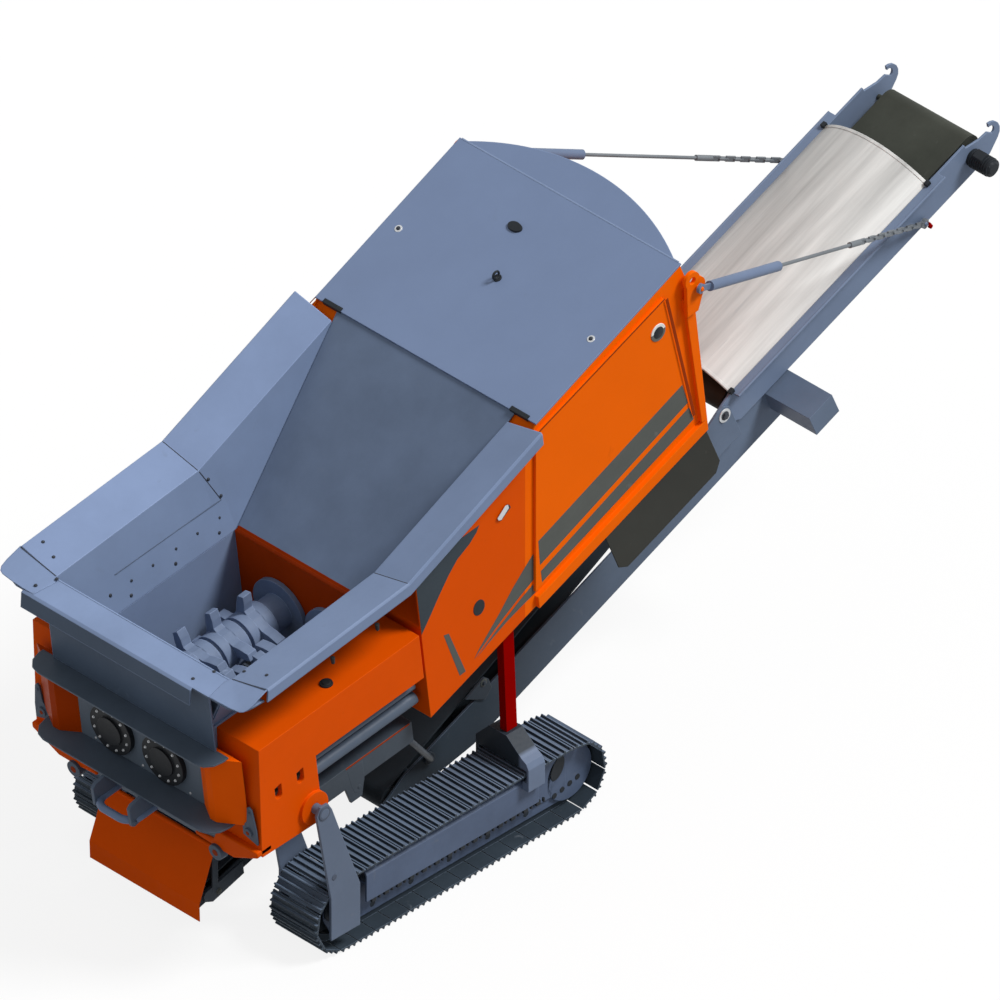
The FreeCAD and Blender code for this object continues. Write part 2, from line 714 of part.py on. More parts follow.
def lift_prop(side):
    """Red locking channel round the lift ram, between the arch and the housing."""
    name = "lift_prop_" + side_name(side)
    place = frame("-pivot_ahead + arch_behind", "arch_high + 2.2", "-prop_lean")
    place = place.replace("rotation(vector(0; -1; 0); -prop_lean)", "rotation(vector(0; -1; 0); prop_lean)")
    channel = plate(name + "_channel", "XY",
                    [("-prop_depth / 2", "-prop_width / 2"), ("prop_depth / 2", "-prop_width / 2"),
                     ("prop_depth / 2", "-prop_width / 2 + prop_wall"),
                     ("-prop_depth / 2 + prop_wall", "-prop_width / 2 + prop_wall"),
                     ("-prop_depth / 2 + prop_wall", "prop_width / 2 - prop_wall"),
                     ("prop_depth / 2", "prop_width / 2 - prop_wall"),
                     ("prop_depth / 2", "prop_width / 2"), ("-prop_depth / 2", "prop_width / 2")],
                    "0", "prop_length", place + " * placement(vector(0; %s; 0); rotation(vector(0; 0; 1); %d))"
                    % ("prop_place" if side > 0 else "-prop_place", 90 if side < 0 else -90))
    ram = rod(name + "_ram", "ram_radius", "prop_length", place,
              ("0", "prop_place" if side > 0 else "-prop_place", "0"), "Z")
    return keep(group(name, [channel, ram]), name)


# Chassis rails and cross tubes under the crushing box.


def strut(side):
    """Tube from the rail's rear end down to the side plate of the lower conveyor, with its foot."""
    foot_inner = read("lower_half") + read("seam")
    place = pitched(read("fold_x"), read("fold_z"), read("tail_angle"))
    foot = place.multVec(Vector(read("strut_foot"), 0, read("lower_high") - 45))
    head = DECK_PLACE.multVec(Vector(read("rail_rear") - 60, 0, (read("rail_low") + read("rail_high")) / 2))
    pad = Part.makeCylinder(42, 24, Vector(foot.x, foot_inner, foot.z), Vector(0, 1, 0))
    start = Vector(foot.x, foot_inner + 22, foot.z)
    end = Vector(head.x, read("rail_outer") - read("rail_width") / 2, head.z)
    tube = Part.makeCylinder(read("strut_radius"), (end - start).Length, start, end - start)
    whole = pad.fuse(tube)
    trimmed = whole.cut(Part.makeBox(400, 100, 400, Vector(foot.x - 200, foot_inner - 100, foot.z - 200)))
    return trimmed if side > 0 else trimmed.mirror(Vector(0, 0, 0), Vector(0, 1, 0))


def chassis():
    parts = []
    for side in (1, -1):
        rail = [("-rail_front", "rail_low"), ("rail_rear", "rail_low"), ("rail_rear", "rail_high"),
                ("-rail_front", "rail_high")]
        parts.append(spread("rail_" + side_name(side), "XZ", rail, "rail_outer - rail_width", "rail_outer", side))
        for k, (fore, aft) in enumerate((("-rail_front", "-200"), ("260", "rail_rear"))):
            web = [(fore, "rail_high - 40"), (aft, "rail_high - 40"), (aft, "rail_high"), (fore, "rail_high")]
            parts.append(spread("rail_web_%s_%d" % (side_name(side), k), "XZ", web, "box_half + seam",
                                "rail_outer - rail_width", side))
        lug = [("465", "-370"), ("565", "-370"), ("600", "rail_low"), ("430", "rail_low")]
        parts.append(spread("rail_lug_" + side_name(side), "XZ", lug, "rail_outer - 20", "rail_outer", side))
    for k, x in enumerate(("-rail_front + 90", "rail_rear - 90")):
        parts.append(rod("cross_tube_%d" % k, "cross_radius", "2 * (rail_outer - rail_width)", DECK,
                         (x, "-(rail_outer - rail_width)", "box_low - cross_radius - 1"), "Y"))
    for side in (1, -1):
        ear = [("-hinge_ahead - 24", "-hinge_drop - 24"), ("-hinge_ahead + 24", "-hinge_drop - 24"),
               ("-hinge_ahead + 70", "rail_low"), ("-hinge_ahead - 10", "rail_low")]
        parts.append(spread("hinge_ear_" + side_name(side), "XZ", ear, "flap_half + 4", "flap_half + 20", side))
    parts.append(rod("flap_pin", "hinge_pin", "2 * flap_half + 8", DECK,
                     ("-hinge_ahead", "-flap_half - 4", "-hinge_drop"), "Y"))
    beam = [("-hinge_ahead - 10", "rail_low - 16"), ("-hinge_ahead + 70", "rail_low - 16"),
            ("-hinge_ahead + 70", "box_low - seam"), ("-hinge_ahead - 10", "box_low - seam")]
    parts.append(plate("front_beam", "XZ", beam, "-(rail_outer - rail_width)", "rail_outer - rail_width"))
    for side in (1, -1):
        inner, outer = "feed_half + feed_plate + 18 + 2 * seam", "feed_half + feed_plate + 32"
        for k, (fore, low, high) in enumerate((("-330", "-810", "-280"), ("952", "-445", "-120"))):
            hanger = [(fore, low), (fore + " + 50", low), (fore + " + 50", high), (fore, high)]
            parts.append(spread("hanger_%s_%d" % (side_name(side), k), "XZ", hanger, inner, outer, side, PINS))
        parts.append(ready("strut_" + side_name(side), strut(side)))
    return keep(join("chassis", parts), "chassis")


# Crushing box: four heavy walls, open above to the hopper and below to the belt.


def crusher_box():
    outer = plate("box_block", "XZ", [("-box_front", "box_low"), ("box_rear", "box_low"), ("box_rear", "box_top"),
                                      ("-box_front", "box_top")], "-box_half", "box_half")
    inner = plate("box_inside", "XZ",
                  [("-box_front + box_wall", "box_low - 10"), ("box_rear - box_wall", "box_low - 10"),
                   ("box_rear - box_wall", "box_top + 10"), ("-box_front + box_wall", "box_top + 10")],
                  "-box_half + box_wall", "box_half - box_wall")
    tools = [inner]
    for side in (1, -1):
        tools.append(rod("journal_bore_" + side_name(side), "journal_radius + journal_gap", "box_front + box_rear + 20",
                         DECK, ("-box_front - 10", "rotor_place" if side > 0 else "-rotor_place", "rotor_height"), "X"))
    return keep(trim("crusher_box", outer, tools), "crusher_box")


def front_shelves():
    parts = []
    for name, level, depth in (("upper_shelf", "upper_shelf", "shelf_depth"),
                               ("lower_shelf", "lower_shelf", "lower_shelf_depth")):
        back = "-box_front - seam"
        corners = [(back, "shelf_half")]
        for degrees in (0, 30, 60, 90):
            out, off = math.sin(math.radians(degrees)), 1 - math.cos(math.radians(degrees))
            corners.append(("%s - %s * %.4f" % (back, depth, 0.25 + 0.75 * out),
                            "shelf_half - shelf_round * %.4f" % off))
        corners += [(x, "-(%s)" % y) for x, y in reversed(corners)]
        parts.append(plate(name, "XY", corners, level + " - shelf_plate", level))
    return keep(group("front_shelves", parts), "front_shelves")


def bearing_covers():
    parts = []
    for side in (1, -1):
        at = ("-box_front - seam - cover_depth", "rotor_place" if side > 0 else "-rotor_place", "rotor_height")
        disc = rod("cover_disc_" + side_name(side), "cover_radius", "cover_depth", DECK, at, "X")
        boss_at = ("-box_front - seam - cover_depth - cover_boss_depth", at[1], at[2])
        boss = rod("cover_boss_" + side_name(side), "cover_boss", "cover_boss_depth", DECK, boss_at, "X")
        parts.append(join("cover_" + side_name(side), [disc, boss]))
    return keep(group("bearing_covers", parts), "bearing_covers")


def towing_bail():
    """Bent round bar low on the front wall: two arms and a cross piece with round bends."""
    half, reach, bar = read("bail_half"), read("bail_reach"), read("bail_tube")
    bend = half * 0.6
    root = -read("box_front") - read("seam")
    level = read("bail_height")
    tip = root - reach
    c = math.sqrt(0.5)
    path = Part.Wire([
        Part.LineSegment(Vector(root, -half, level), Vector(tip + bend, -half, level)).toShape(),
        Part.Arc(Vector(tip + bend, -half, level), Vector(tip + bend - bend * c, -half + bend - bend * c, level),
                 Vector(tip, -half + bend, level)).toShape(),
        Part.LineSegment(Vector(tip, -half + bend, level), Vector(tip, half - bend, level)).toShape(),
        Part.Arc(Vector(tip, half - bend, level), Vector(tip + bend - bend * c, half - bend + bend * c, level),
                 Vector(tip + bend, half, level)).toShape(),
        Part.LineSegment(Vector(tip + bend, half, level), Vector(root, half, level)).toShape(),
    ])
    circle = Part.Wire([Part.makeCircle(bar, Vector(root, -half, level), Vector(1, 0, 0))])
    bar_shape = path.makePipeShell([circle], True, False)
    return keep(ready("towing_bail", bar_shape, DECK_PLACE), "towing_bail")


# Rotors: blades with fingers on a shaft. The fingers of one shaft pass between those
# of the other, so the two may turn at any speed. This is the part that does the work.


def blade_outline():
    """Hub with fingers that lean forward and end flat, as (y, z) points."""
    teeth = int(read("blade_teeth"))
    hub, tip = read("blade_hub"), read("blade_tip")
    points = []
    for k in range(teeth):
        for degrees, radius in ((0, hub), (12, hub * 1.10), (22, (hub + tip) / 2), (31, tip * 0.985), (41, tip),
                                (42, tip * 0.80), (40, hub * 1.14), (48, hub), (69, hub)):
            turn = 2 * math.pi * k / teeth + math.radians(degrees)
            points.append((radius * math.cos(turn), radius * math.sin(turn)))
    return points


def rotor(side):
    """Shaft with its journals, and on it the hubs, the star of fingers round each hub, and an end disc."""
    name = "rotor_" + side_name(side)
    front = -read("box_front") + read("box_wall") + read("rotor_gap")
    rear = read("box_rear") - read("box_wall") - read("rotor_gap")
    ahead = Vector(1, 0, 0)
    bore = read("shaft_radius") + read("seam")
    reach = read("box_wall") + read("rotor_gap") - 4
    shaft = Part.makeCylinder(read("shaft_radius"), rear - front, Vector(front, 0, 0), ahead)
    journal = Part.makeCylinder(read("journal_radius"), rear - front + 2 * reach, Vector(front - reach, 0, 0), ahead)
    pieces = [shaft.fuse(journal).removeSplitter()]
    outline = blade_outline()
    width, hub = read("blade_width"), read("hub_width")
    hub_seat = (read("shaft_radius") + read("blade_hub")) / 2
    first = -read("first_blade") + (read("blade_pitch") / 2 if side > 0 else 0)
    for k in range(int(read("blade_count"))):
        middle = first + k * read("blade_pitch")
        ring = [Vector(middle - width / 2, y, z) for y, z in outline]
        star = Part.Face(Part.makePolygon(ring + [ring[0]])).extrude(Vector(width, 0, 0))
        seat = Part.makeCylinder(hub_seat + read("seam"), width + 2, Vector(middle - width / 2 - 1, 0, 0), ahead)
        star = star.cut(seat)
        star.rotate(Vector(0, 0, 0), ahead, read("blade_twist") * k * (1 if side > 0 else -1))
        pieces.append(star)
        sleeve = Part.makeCylinder(hub_seat, hub, Vector(middle - hub / 2, 0, 0), ahead)
        for rim in (-1, 1):
            flange_wide = (hub - width) / 2 - read("seam")
            start = middle + (width / 2 + read("seam") if rim > 0 else -hub / 2)
            flange = Part.makeCylinder(read("blade_hub"), flange_wide, Vector(start, 0, 0), ahead)
            sleeve = sleeve.fuse(flange)
        hole = Part.makeCylinder(bore, hub + 2, Vector(middle - hub / 2 - 1, 0, 0), ahead)
        pieces.append(sleeve.cut(hole).removeSplitter())
    disc_width = read("end_disc_width")
    at_disc = Vector(rear - disc_width, 0, 0)
    disc = Part.makeCylinder(read("end_disc"), disc_width, at_disc, ahead)
    pieces.append(disc.cut(Part.makeCylinder(bore, disc_width, at_disc, ahead)))
    shape = Part.makeCompound(pieces)
    if side < 0:
        shape = shape.mirror(Vector(0, 0, 0), Vector(0, 1, 0))
    local = Placement(Vector(0, side * read("rotor_place"), read("rotor_height")), Rotation())
    return keep(ready(name, shape, DECK_PLACE.multiply(local)), name)


# Side boxes: deep at the front round the tilt pin, shallow behind it, with two
# round-bottomed pockets, and a collar about the pin.


def side_box(side):
    name = "side_box_" + side_name(side)
    corners = [("-side_front", "side_low"), ("side_deep_end", "side_low"), ("side_deep_end", "side_step"),
               ("box_rear", "side_step"), ("box_rear", "side_top"), ("-side_front + side_lean", "side_top")]
    block = spread(name + "_block", "XZ", corners, "box_half + seam", "side_outer", side)
    cheek = [("-side_front", "side_low - 60"), ("side_deep_end", "side_low - 95"), ("side_deep_end", "side_low"),
             ("-side_front", "side_low")]
    skirt = spread(name + "_cheek", "XZ", cheek, "side_outer - 45", "side_outer", side)
    collar = side_rod(name + "_collar", "collar_radius", "side_outer - 45", "side_outer + collar_depth", side, DECK,
                      "0", "0")
    whole = join(name + "_whole", [block, skirt, collar])
    tools = []
    for k, x in enumerate(("slot_first", "slot_second")):
        pocket = [(x + " - slot_width / 2", "slot_middle - slot_height / 2 + slot_width / 2"),
                  (x + " + slot_width / 2", "slot_middle - slot_height / 2 + slot_width / 2"),
                  (x + " + slot_width / 2", "slot_middle + slot_height / 2 + 12"),
                  (x + " - slot_width / 2", "slot_middle + slot_height / 2")]
        tools.append(spread("%s_pocket_%d" % (name, k), "XZ", pocket, "side_outer - slot_depth",
                            "side_outer + 5", side))
        tools.append(side_rod("%s_round_%d" % (name, k), "slot_width / 2", "side_outer - slot_depth",
                              "side_outer + 5", side, DECK, x, "slot_middle - slot_height / 2 + slot_width / 2"))
    tools.append(side_rod(name + "_bore", "pin_radius + seam", "0", "side_outer + 300", side, PINS, "0", "0"))
    tools.append(spread(name + "_under", "XZ",
                        [("-collar_radius - 60", "side_low - 150"), ("side_deep_end + 90", "side_low - 150"),
                         ("side_deep_end + 90", "collar_radius + 20"), ("-collar_radius - 60", "collar_radius + 20")],
                        "stand_inner - 20", "side_outer - 45", side))
    return keep(trim(name, whole, tools), name)


def front_corners():
    """Bent orange sheets that close the gap between the front wall and the side boxes."""
    parts = []
    for side in (1, -1):
        back, wall = "-side_front - seam", "-box_front - seam"
        corners = [(wall, "box_half - 90"), (wall + " - post_reach", "box_half + 40"),
                   (wall + " - post_reach", "box_half + 95"), (back, "side_outer - 95"), (back, "box_half + 5"),
                   (wall, "box_half + 5")]
        if side < 0:
            corners = [(x, "-(%s)" % y) for x, y in reversed(corners)]
        parts.append(plate("corner_post_" + side_name(side), "XY", corners, "lower_shelf + seam",
                           "upper_shelf - shelf_plate - seam"))
    return keep(group("front_corners", parts), "front_corners")


def long_pipes():
    """Two long pipes a side in the recess under the side boxes."""
    parts = []
    for side in (1, -1):
        across = "pipe_place" if side > 0 else "-pipe_place"
        for k, (radius, up) in enumerate((("pipe_radius", "pipe_height"), ("pipe_small", "pipe_height + pipe_step"))):
            parts.append(rod("pipe_%s_%d" % (side_name(side), k), radius, "box_rear - side_deep_end - 2 * seam", DECK,
                             ("side_deep_end + seam", across, up), "X"))
    return keep(group("long_pipes", parts), "long_pipes")


def front_flap():
    """Bent dust flap under the front beam, on a long hinge."""
    place = DECK + " * placement(vector(-hinge_ahead; 0; -hinge_drop); rotation(vector(0; 1; 0); flap_out))"
    leaf = plate("flap_leaf", "XZ", [("-flap_plate / 2", "-flap_length"), ("flap_plate / 2", "-flap_length"),
                                     ("flap_plate / 2", "0"), ("-flap_plate / 2", "0")],
                 "-flap_half", "flap_half", place)
    lip = plate("flap_lip", "XZ", [("-flap_plate / 2", "-flap_length"), ("flap_plate / 2", "-flap_length"),
                                   ("flap_plate / 2 + 52", "-flap_length - flap_lip"),
                                   ("-flap_plate / 2 + 52", "-flap_length - flap_lip")],
                "-flap_half", "flap_half", place)
    knuckle = rod("flap_knuckle", "hinge_radius", "2 * flap_half", place, ("0", "-flap_half", "0"), "Y")
    bore = rod("flap_bore", "hinge_pin + hinge_gap", "2 * flap_half + 40", place, ("0", "-flap_half - 20", "0"), "Y")
    return keep(trim("front_flap", join("flap_whole", [leaf, lip, knuckle]), [bore]), "front_flap")


# Hopper: four sloping walls, the side ones with raised wings, the front one flanged.


def sloped_sheet(foot, head, thick):
    """A flat sheet between a foot edge and a head edge, each (x, z, half width)."""
    ring = [Vector(foot[0], -foot[2], foot[1]), Vector(foot[0], foot[2], foot[1]),
            Vector(head[0], head[2], head[1]), Vector(head[0], -head[2], head[1])]
    face = Part.Face(Part.makePolygon(ring + ring[:1]))
    normal = Vector(head[1] - foot[1], 0, foot[0] - head[0]).normalize()
    return face.extrude(normal * thick)


def hopper_front():
    """Front wall of the hopper with its flange and rounded corners."""
    wall = ready("hopper_front_wall",
                 sloped_sheet((-read("front_wall_foot"), read("box_top") + read("seam"), read("hopper_foot") - 1),
                              (-read("front_wall_head"), read("wing_low") - read("flange_drop") + read("sheet_plate"),
                               read("hopper_half") - 12), -read("sheet_plate")), DECK_PLACE)
    half = "wing_outer"
    corners = [("-wing_front - 5", half + " - 30"), ("-front_lip + flange_round * 0.85", half + " - 40"),
               ("-front_lip + flange_round * 0.5", half + " - 52"), ("-front_lip + flange_round * 0.2", half + " - 92"),
               ("-front_lip", half + " - flange_round - 40")]
    corners += [(x, "-(%s)" % y) for x, y in reversed(corners)]
    under = "wing_low - flange_drop"
    flange = plate("hopper_front_flange", "XY", corners, under, under + " + sheet_plate")
    lip = plate("hopper_front_lip", "XZ",
                [("-front_lip", under + " + sheet_plate"), ("-front_lip - lip_out * 0.5", under),
                 ("-front_lip - lip_out", under + " - lip_drop"),
                 ("-front_lip - lip_out + sheet_plate", under + " - lip_drop"),
                 ("-front_lip + sheet_plate - lip_out * 0.5", under), ("-front_lip + sheet_plate", under)],
                "-lip_near", "lip_far")
    panel = plate("hopper_front_panel", "XZ",
                  [("-box_front - 3 * seam - sheet_plate", "upper_shelf + seam"),
                   ("-box_front - seam", "upper_shelf + seam"),
                   ("-box_front - seam", under + " + 2"), ("-box_front - 3 * seam - sheet_plate", under + " + 2")],
                  "-panel_half", "panel_half")
    return keep(join("hopper_front", [wall, flange, lip, panel]), "hopper_front")


def slope_height(x):
    """Height of the rear slope's upper face at a distance behind the pins."""
    share = (x - read("slope_foot")) / (read("hood_front") - read("slope_foot"))
    return read("box_top") + 10 + share * (read("hood_front_height") - 10.3 - read("box_top"))


def hopper_side(side):
    """Side wall of the hopper with its raised wing and turned-down lip, bent at a knee."""
    name = "hopper_" + side_name(side)
    thick = read("sheet_plate")
    fold, foot = read("hopper_half"), read("hopper_foot")
    outer, rise, lip = read("wing_outer"), read("wing_rise"), read("wing_lip")
    base = read("box_top") + read("seam")
    lean = (read("front_wall_foot") - read("wing_front")) / (read("wing_low") - base)
    knee, end = (read("wing_knee"), read("wing_knee_height")), (read("wing_end"), read("wing_high"))
    past = (read("slope_foot") - knee[0]) / (end[0] - knee[0])
    bend = (read("slope_foot"), knee[1] + past * (end[1] - knee[1]))

    def section(x, top, low, low_place):
        points = [(fold, top), (outer - 12, top + rise), (outer, top + rise - 12), (outer, top + rise - lip),
                  (outer - thick, top + rise - lip), (outer - thick, top + rise - thick - 8),
                  (fold + 4, top - thick), (low_place + thick, low), (low_place, low)]
        slant = lean if x < 0 else 0
        return Part.makePolygon([Vector(x - (top - z) * slant, side * y, z) for y, z in points + points[:1]])

    foot_high = slope_height(end[0]) - thick
    marks = [section(-read("wing_front"), read("wing_low"), base, foot), section(knee[0], knee[1], base, foot),
             section(bend[0], bend[1], base, foot), section(end[0], end[1], foot_high, fold - 3)]
    stretches = [Part.makeLoft([near, far], True, True) for near, far in zip(marks, marks[1:])]
    return keep(ready(name, stretches[0].fuse(stretches[1:]).removeSplitter(), DECK_PLACE), name)


def hopper_slope():
    """Rear slope of the hopper from the crushing box up to the hood."""
    foot_half = read("hopper_foot") - 1
    rate = (read("hopper_half") - 4 - foot_half) / (read("wing_end") - read("slope_foot"))
    head_half = foot_half + rate * (read("hood_front") - read("slope_foot"))
    sheet_metal = sloped_sheet((read("slope_foot"), slope_height(read("slope_foot")), foot_half),
                               (read("hood_front"), slope_height(read("hood_front")), head_half),
                               read("sheet_plate"))
    return keep(ready("hopper_slope", sheet_metal, DECK_PLACE), "hopper_slope")


# Hood with a round visor over the rear of the engine housing.


def hood():
    half, length, reach = read("hood_half"), read("hood_length"), read("visor_reach")
    edge = half - 60
    outline = Part.Wire([
        Part.LineSegment(Vector(0, -half, 0), Vector(length, -half, 0)).toShape(),
        Part.LineSegment(Vector(length, -half, 0), Vector(length, -edge, 0)).toShape(),
        Part.Arc(Vector(length, -edge, 0), Vector(length + reach, 0, 0), Vector(length, edge, 0)).toShape(),
        Part.LineSegment(Vector(length, edge, 0), Vector(length, half, 0)).toShape(),
        Part.LineSegment(Vector(length, half, 0), Vector(0, half, 0)).toShape(),
        Part.LineSegment(Vector(0, half, 0), Vector(0, -half, 0)).toShape(),
    ])
    sheet_metal = Part.Face(outline).extrude(Vector(0, 0, read("hood_plate")))
    local = pitched(read("hood_front"), read("hood_front_height"), read("hood_angle"))
    return keep(ready("hood", sheet_metal, DECK_PLACE.multiply(local)), "hood")


# Engine housing: a closed casing behind the hopper with a sloping floor, side
# panels and a raised frame round each door.


def slope_line(x):
    """Height of the housing floor at a distance behind the pins, as an expression."""
    return ("housing_low + (housing_rear_low - housing_low) * ((%s) - housing_front) / (housing_rear - housing_front)"
            % x)


def hood_line(x):
    return "hood_front_height - seam * 2 + ((%s) - hood_front) * tan(hood_angle * 1deg)" % x


def engine_housing():
    floor = [("housing_front", "housing_low"), ("housing_rear", "housing_rear_low"),
             ("housing_rear", "lug_z - 30"), ("housing_rear - 60", hood_line("housing_rear - 60")),
             ("hood_front + 60", hood_line("hood_front + 60")), ("slope_foot + 60", "box_top + 4"),
             ("housing_front", "box_top - 20")]
    block = plate("housing_block", "XZ", floor, "-housing_half + panel_plate", "housing_half - panel_plate")
    room = [("housing_front + housing_wall", "housing_low + housing_wall * 1.4"),
            ("housing_rear - housing_wall", "housing_rear_low + housing_wall"),
            ("housing_rear - housing_wall", "lug_z - 30 - housing_wall"),
            ("housing_rear - 60 - housing_wall", hood_line("housing_rear - 60") + " - housing_wall * 2"),
            ("hood_front + 60 + housing_wall", hood_line("hood_front + 60") + " - housing_wall * 1.2"),
            ("slope_foot + 60 + housing_wall * 1.5", "box_top - 20 - housing_wall"),
            ("housing_front + housing_wall", "box_top - 40 - housing_wall")]
    inside = plate("housing_room", "XZ", room, "-housing_half + panel_plate + 4", "housing_half - panel_plate - 4")
    hatch = [("1700", "0"), ("2500", "0"), ("2500", "600"), ("1700", "600")]
    vent = plate("housing_hatch", "XZ", hatch, "-300", "300")
    parts = [trim("housing_core", block, [inside, vent])]
    for side in (1, -1):
        cheek = [("housing_front", "housing_low"), ("housing_rear", "housing_rear_low"),
                 ("housing_rear", "lug_z - 30"), ("housing_rear - 60", hood_line("housing_rear - 60")),
                 ("hood_front + 5", hood_line("hood_front + 5")), ("wing_end - 10", "wing_high - 40"),
                 ("housing_front", "housing_shoulder")]
        parts.append(spread("housing_cheek_" + side_name(side), "XZ", cheek, "housing_half - panel_plate",
                            "housing_half", side))
        ledge = [("skirt_front - 640", slope_line("skirt_front - 640")), ("housing_rear", "housing_rear_low"),
                 ("housing_rear", "housing_rear_low + frame_width"),
                 ("skirt_front - 640", slope_line("skirt_front - 640") + " + frame_width")]
        parts.append(spread("housing_ledge_" + side_name(side), "XZ", ledge, "housing_half",
                            "housing_half + frame_proud", side))
        post = [("housing_rear - frame_width * 0.55", "housing_rear_low + frame_width"),
                ("housing_rear", "housing_rear_low + frame_width"), ("housing_rear", "lug_z - 90"),
                ("housing_rear - frame_width * 0.9", "lug_z - 90")]
        parts.append(spread("housing_post_" + side_name(side), "XZ", post, "housing_half",
                            "housing_half + frame_proud", side))
    return keep(join("engine_housing", parts), "engine_housing")


def engine_door(side):
    """Side door of the engine housing on an upright hinge at its front edge."""
    name = "engine_door_" + side_name(side)
    corners = [("door_front", "door_front_low + door_gap"), ("door_rear_low_x - 45", "door_rear_low + door_gap"),
               ("door_rear_high_x - 45", "door_rear_high - door_gap"), ("door_front", "door_front_high")]
    leaf = spread(name, "XZ", corners, "housing_half + seam", "housing_half + seam + door_proud", side, PINS)
    return keep(leaf, name)


def side_skirts():
    """Black sheets that hang flaring out under the housing's sides."""
    parts = []
    x0, x1 = read("skirt_front"), read("housing_rear") - 4
    rate = (read("housing_rear_low") - read("housing_low")) / (read("housing_rear") - read("housing_front"))
    for side in (1, -1):
        top = [Vector(x, side * (read("housing_half") + 2),
                      read("housing_low") + rate * (x - read("housing_front")) - 0.6) for x in (x0, x1)]
        drop = Vector(0, side * read("skirt_flare"), -read("skirt_drop"))
        run = Vector(60, 0, 60 * rate)
        ring = [top[0], top[1], top[1] + drop * 0.85, top[1] + drop - run, top[0] + drop + run,
                top[0] + drop * 0.85]
        face = Part.Face(Part.makePolygon(ring + ring[:1]))
        out = Vector(0, side, 0)
        parts.append(face.extrude(out * read("skirt_plate")))
    return keep(ready("side_skirts", Part.makeCompound(parts), DECK_PLACE), "side_skirts")


def lifting_lugs():
    """Rear lugs at the hood's corners: a stay pin and a free lifting hole each."""
    parts = []
    for side in (1, -1):
        name = "lug_" + side_name(side)
        inner, outer = "housing_half + frame_proud + seam", "housing_half + frame_proud + seam + lug_plate"
        plate_part = spread(name + "_plate", "XZ",
                            [("lug_x - 110", "lug_z - 190"), ("housing_rear", "lug_z - 190"),
                             ("lug_x + lug_radius * 0.97", "lug_z - 20"), ("lug_x - lug_hole_ahead - 50", "lug_z + 110")],
                            inner, outer, side)
        eye = side_rod(name + "_eye", "lug_radius", inner, outer, side, DECK, "lug_x", "lug_z")
        head = side_rod(name + "_head", "lug_radius - 8", inner, outer, side, DECK, "lug_x - lug_hole_ahead",
                        "lug_z + lug_hole_up")
        pin = side_rod(name + "_pin", "stay_pin", outer, outer + " + stay_stand + 20", side, DECK, "lug_x", "lug_z")
        middle = "housing_half + frame_proud + seam + lug_plate + stay_stand"
        knob = ball(name + "_ball", DECK, "lug_x", middle if side > 0 else "-(%s)" % middle, "lug_z")
        whole = join(name + "_whole", [plate_part, eye, head, pin, knob])
        hole = side_rod(name + "_hole", "lug_hole", inner + " - 5", outer + " + 5", side, DECK,
                        "lug_x - lug_hole_ahead", "lug_z + lug_hole_up")
        parts.append(trim(name, whole, [hole]))
    return keep(group("lifting_lugs", parts), "lifting_lugs")


# Lower conveyor: fixed side plates from the low tail between the tracks up to the
# fold bolts, with the drive housing at its side.


def conveyor_lower():
    parts = []
    for side in (1, -1):
        cheek = [("lower_tail", "tail_low"), ("lower_taper", "lower_low"), ("lower_end", "lower_low"),
                 ("lower_end + 60", "lower_low + 60"), ("lower_end - 40", "lower_high"),
                 ("lower_tail + 250", "lower_high"), ("lower_tail", "lower_high - 60")]
        parts.append(spread("lower_cheek_" + side_name(side), "XZ", cheek, "lower_half - boom_plate", "lower_half",
                            side, TAIL))
        bracket = [("-bracket_width", "lower_high"), ("60", "lower_high"), ("60", "30"), ("20", "70"),
                   ("-40", "70"), ("-bracket_width", "-20")]
        parts.append(spread("fold_bracket_" + side_name(side), "XZ", bracket, "boom_half + seam",
                            "boom_half + seam + bracket_plate", side, TAIL))
        tab = [("-bracket_width", "lower_high - 60"), ("60", "lower_high - 60"), ("60", "lower_high"),
               ("-bracket_width", "lower_high")]
        parts.append(spread("fold_tab_" + side_name(side), "XZ", tab, "lower_half",
                            "boom_half + seam + bracket_plate", side, TAIL))
        parts.append(side_rod("fold_bolt_" + side_name(side), "fold_pin", "boom_half - boom_plate - 8",
                              "boom_half + seam + bracket_plate + 14", side, TAIL, "0", "0"))
    for k, (x, up) in enumerate((("lower_tail + 330", "tail_low + 20"), ("lower_tail + 1900", "lower_low + 48"),
                                 ("lower_end - 160", "lower_low + 48"))):
        parts.append(rod("lower_tie_%d" % k, "30", "2 * lower_half - boom_plate", TAIL,
                         (x, "-lower_half + boom_plate / 2", up), "Y"))
    stub = [("lower_end - 60", "lower_low + stub_lift"), ("lower_end - 60 + stub_width", "lower_low + stub_lift"),
            ("lower_end - 60 + stub_width", "lower_low + stub_lift + stub_height"),
            ("lower_end - 60", "lower_low + stub_lift + stub_height")]
    parts.append(plate("drive_stub", "XZ", stub, "-lower_half - stub_length", "-lower_half", TAIL))
    return keep(join("conveyor_lower", parts), "conveyor_lower")


def belt_loop(length, radius, half, thick):
    """A flat belt round two drums, along x from the first drum's axis."""
    def ring(r):
        top = Part.LineSegment(Vector(0, -half, r), Vector(length, -half, r)).toShape()
        head = Part.Arc(Vector(length, -half, r), Vector(length + r, -half, 0), Vector(length, -half, -r)).toShape()
        low = Part.LineSegment(Vector(length, -half, -r), Vector(0, -half, -r)).toShape()
        tail = Part.Arc(Vector(0, -half, -r), Vector(-r, -half, 0), Vector(0, -half, r)).toShape()
        return Part.Face(Part.Wire([top, head, low, tail])).extrude(Vector(0, 2 * half, 0))
    return ring(radius + thick).cut(ring(radius))


def drum(at, radius, half, stub_radius, stub_half):
    body = Part.makeCylinder(radius, 2 * half, Vector(at, -half, 0), Vector(0, 1, 0))
    stub = Part.makeCylinder(stub_radius, 2 * stub_half, Vector(at, -stub_half, 0), Vector(0, 1, 0))
    return body.fuse(stub).removeSplitter()


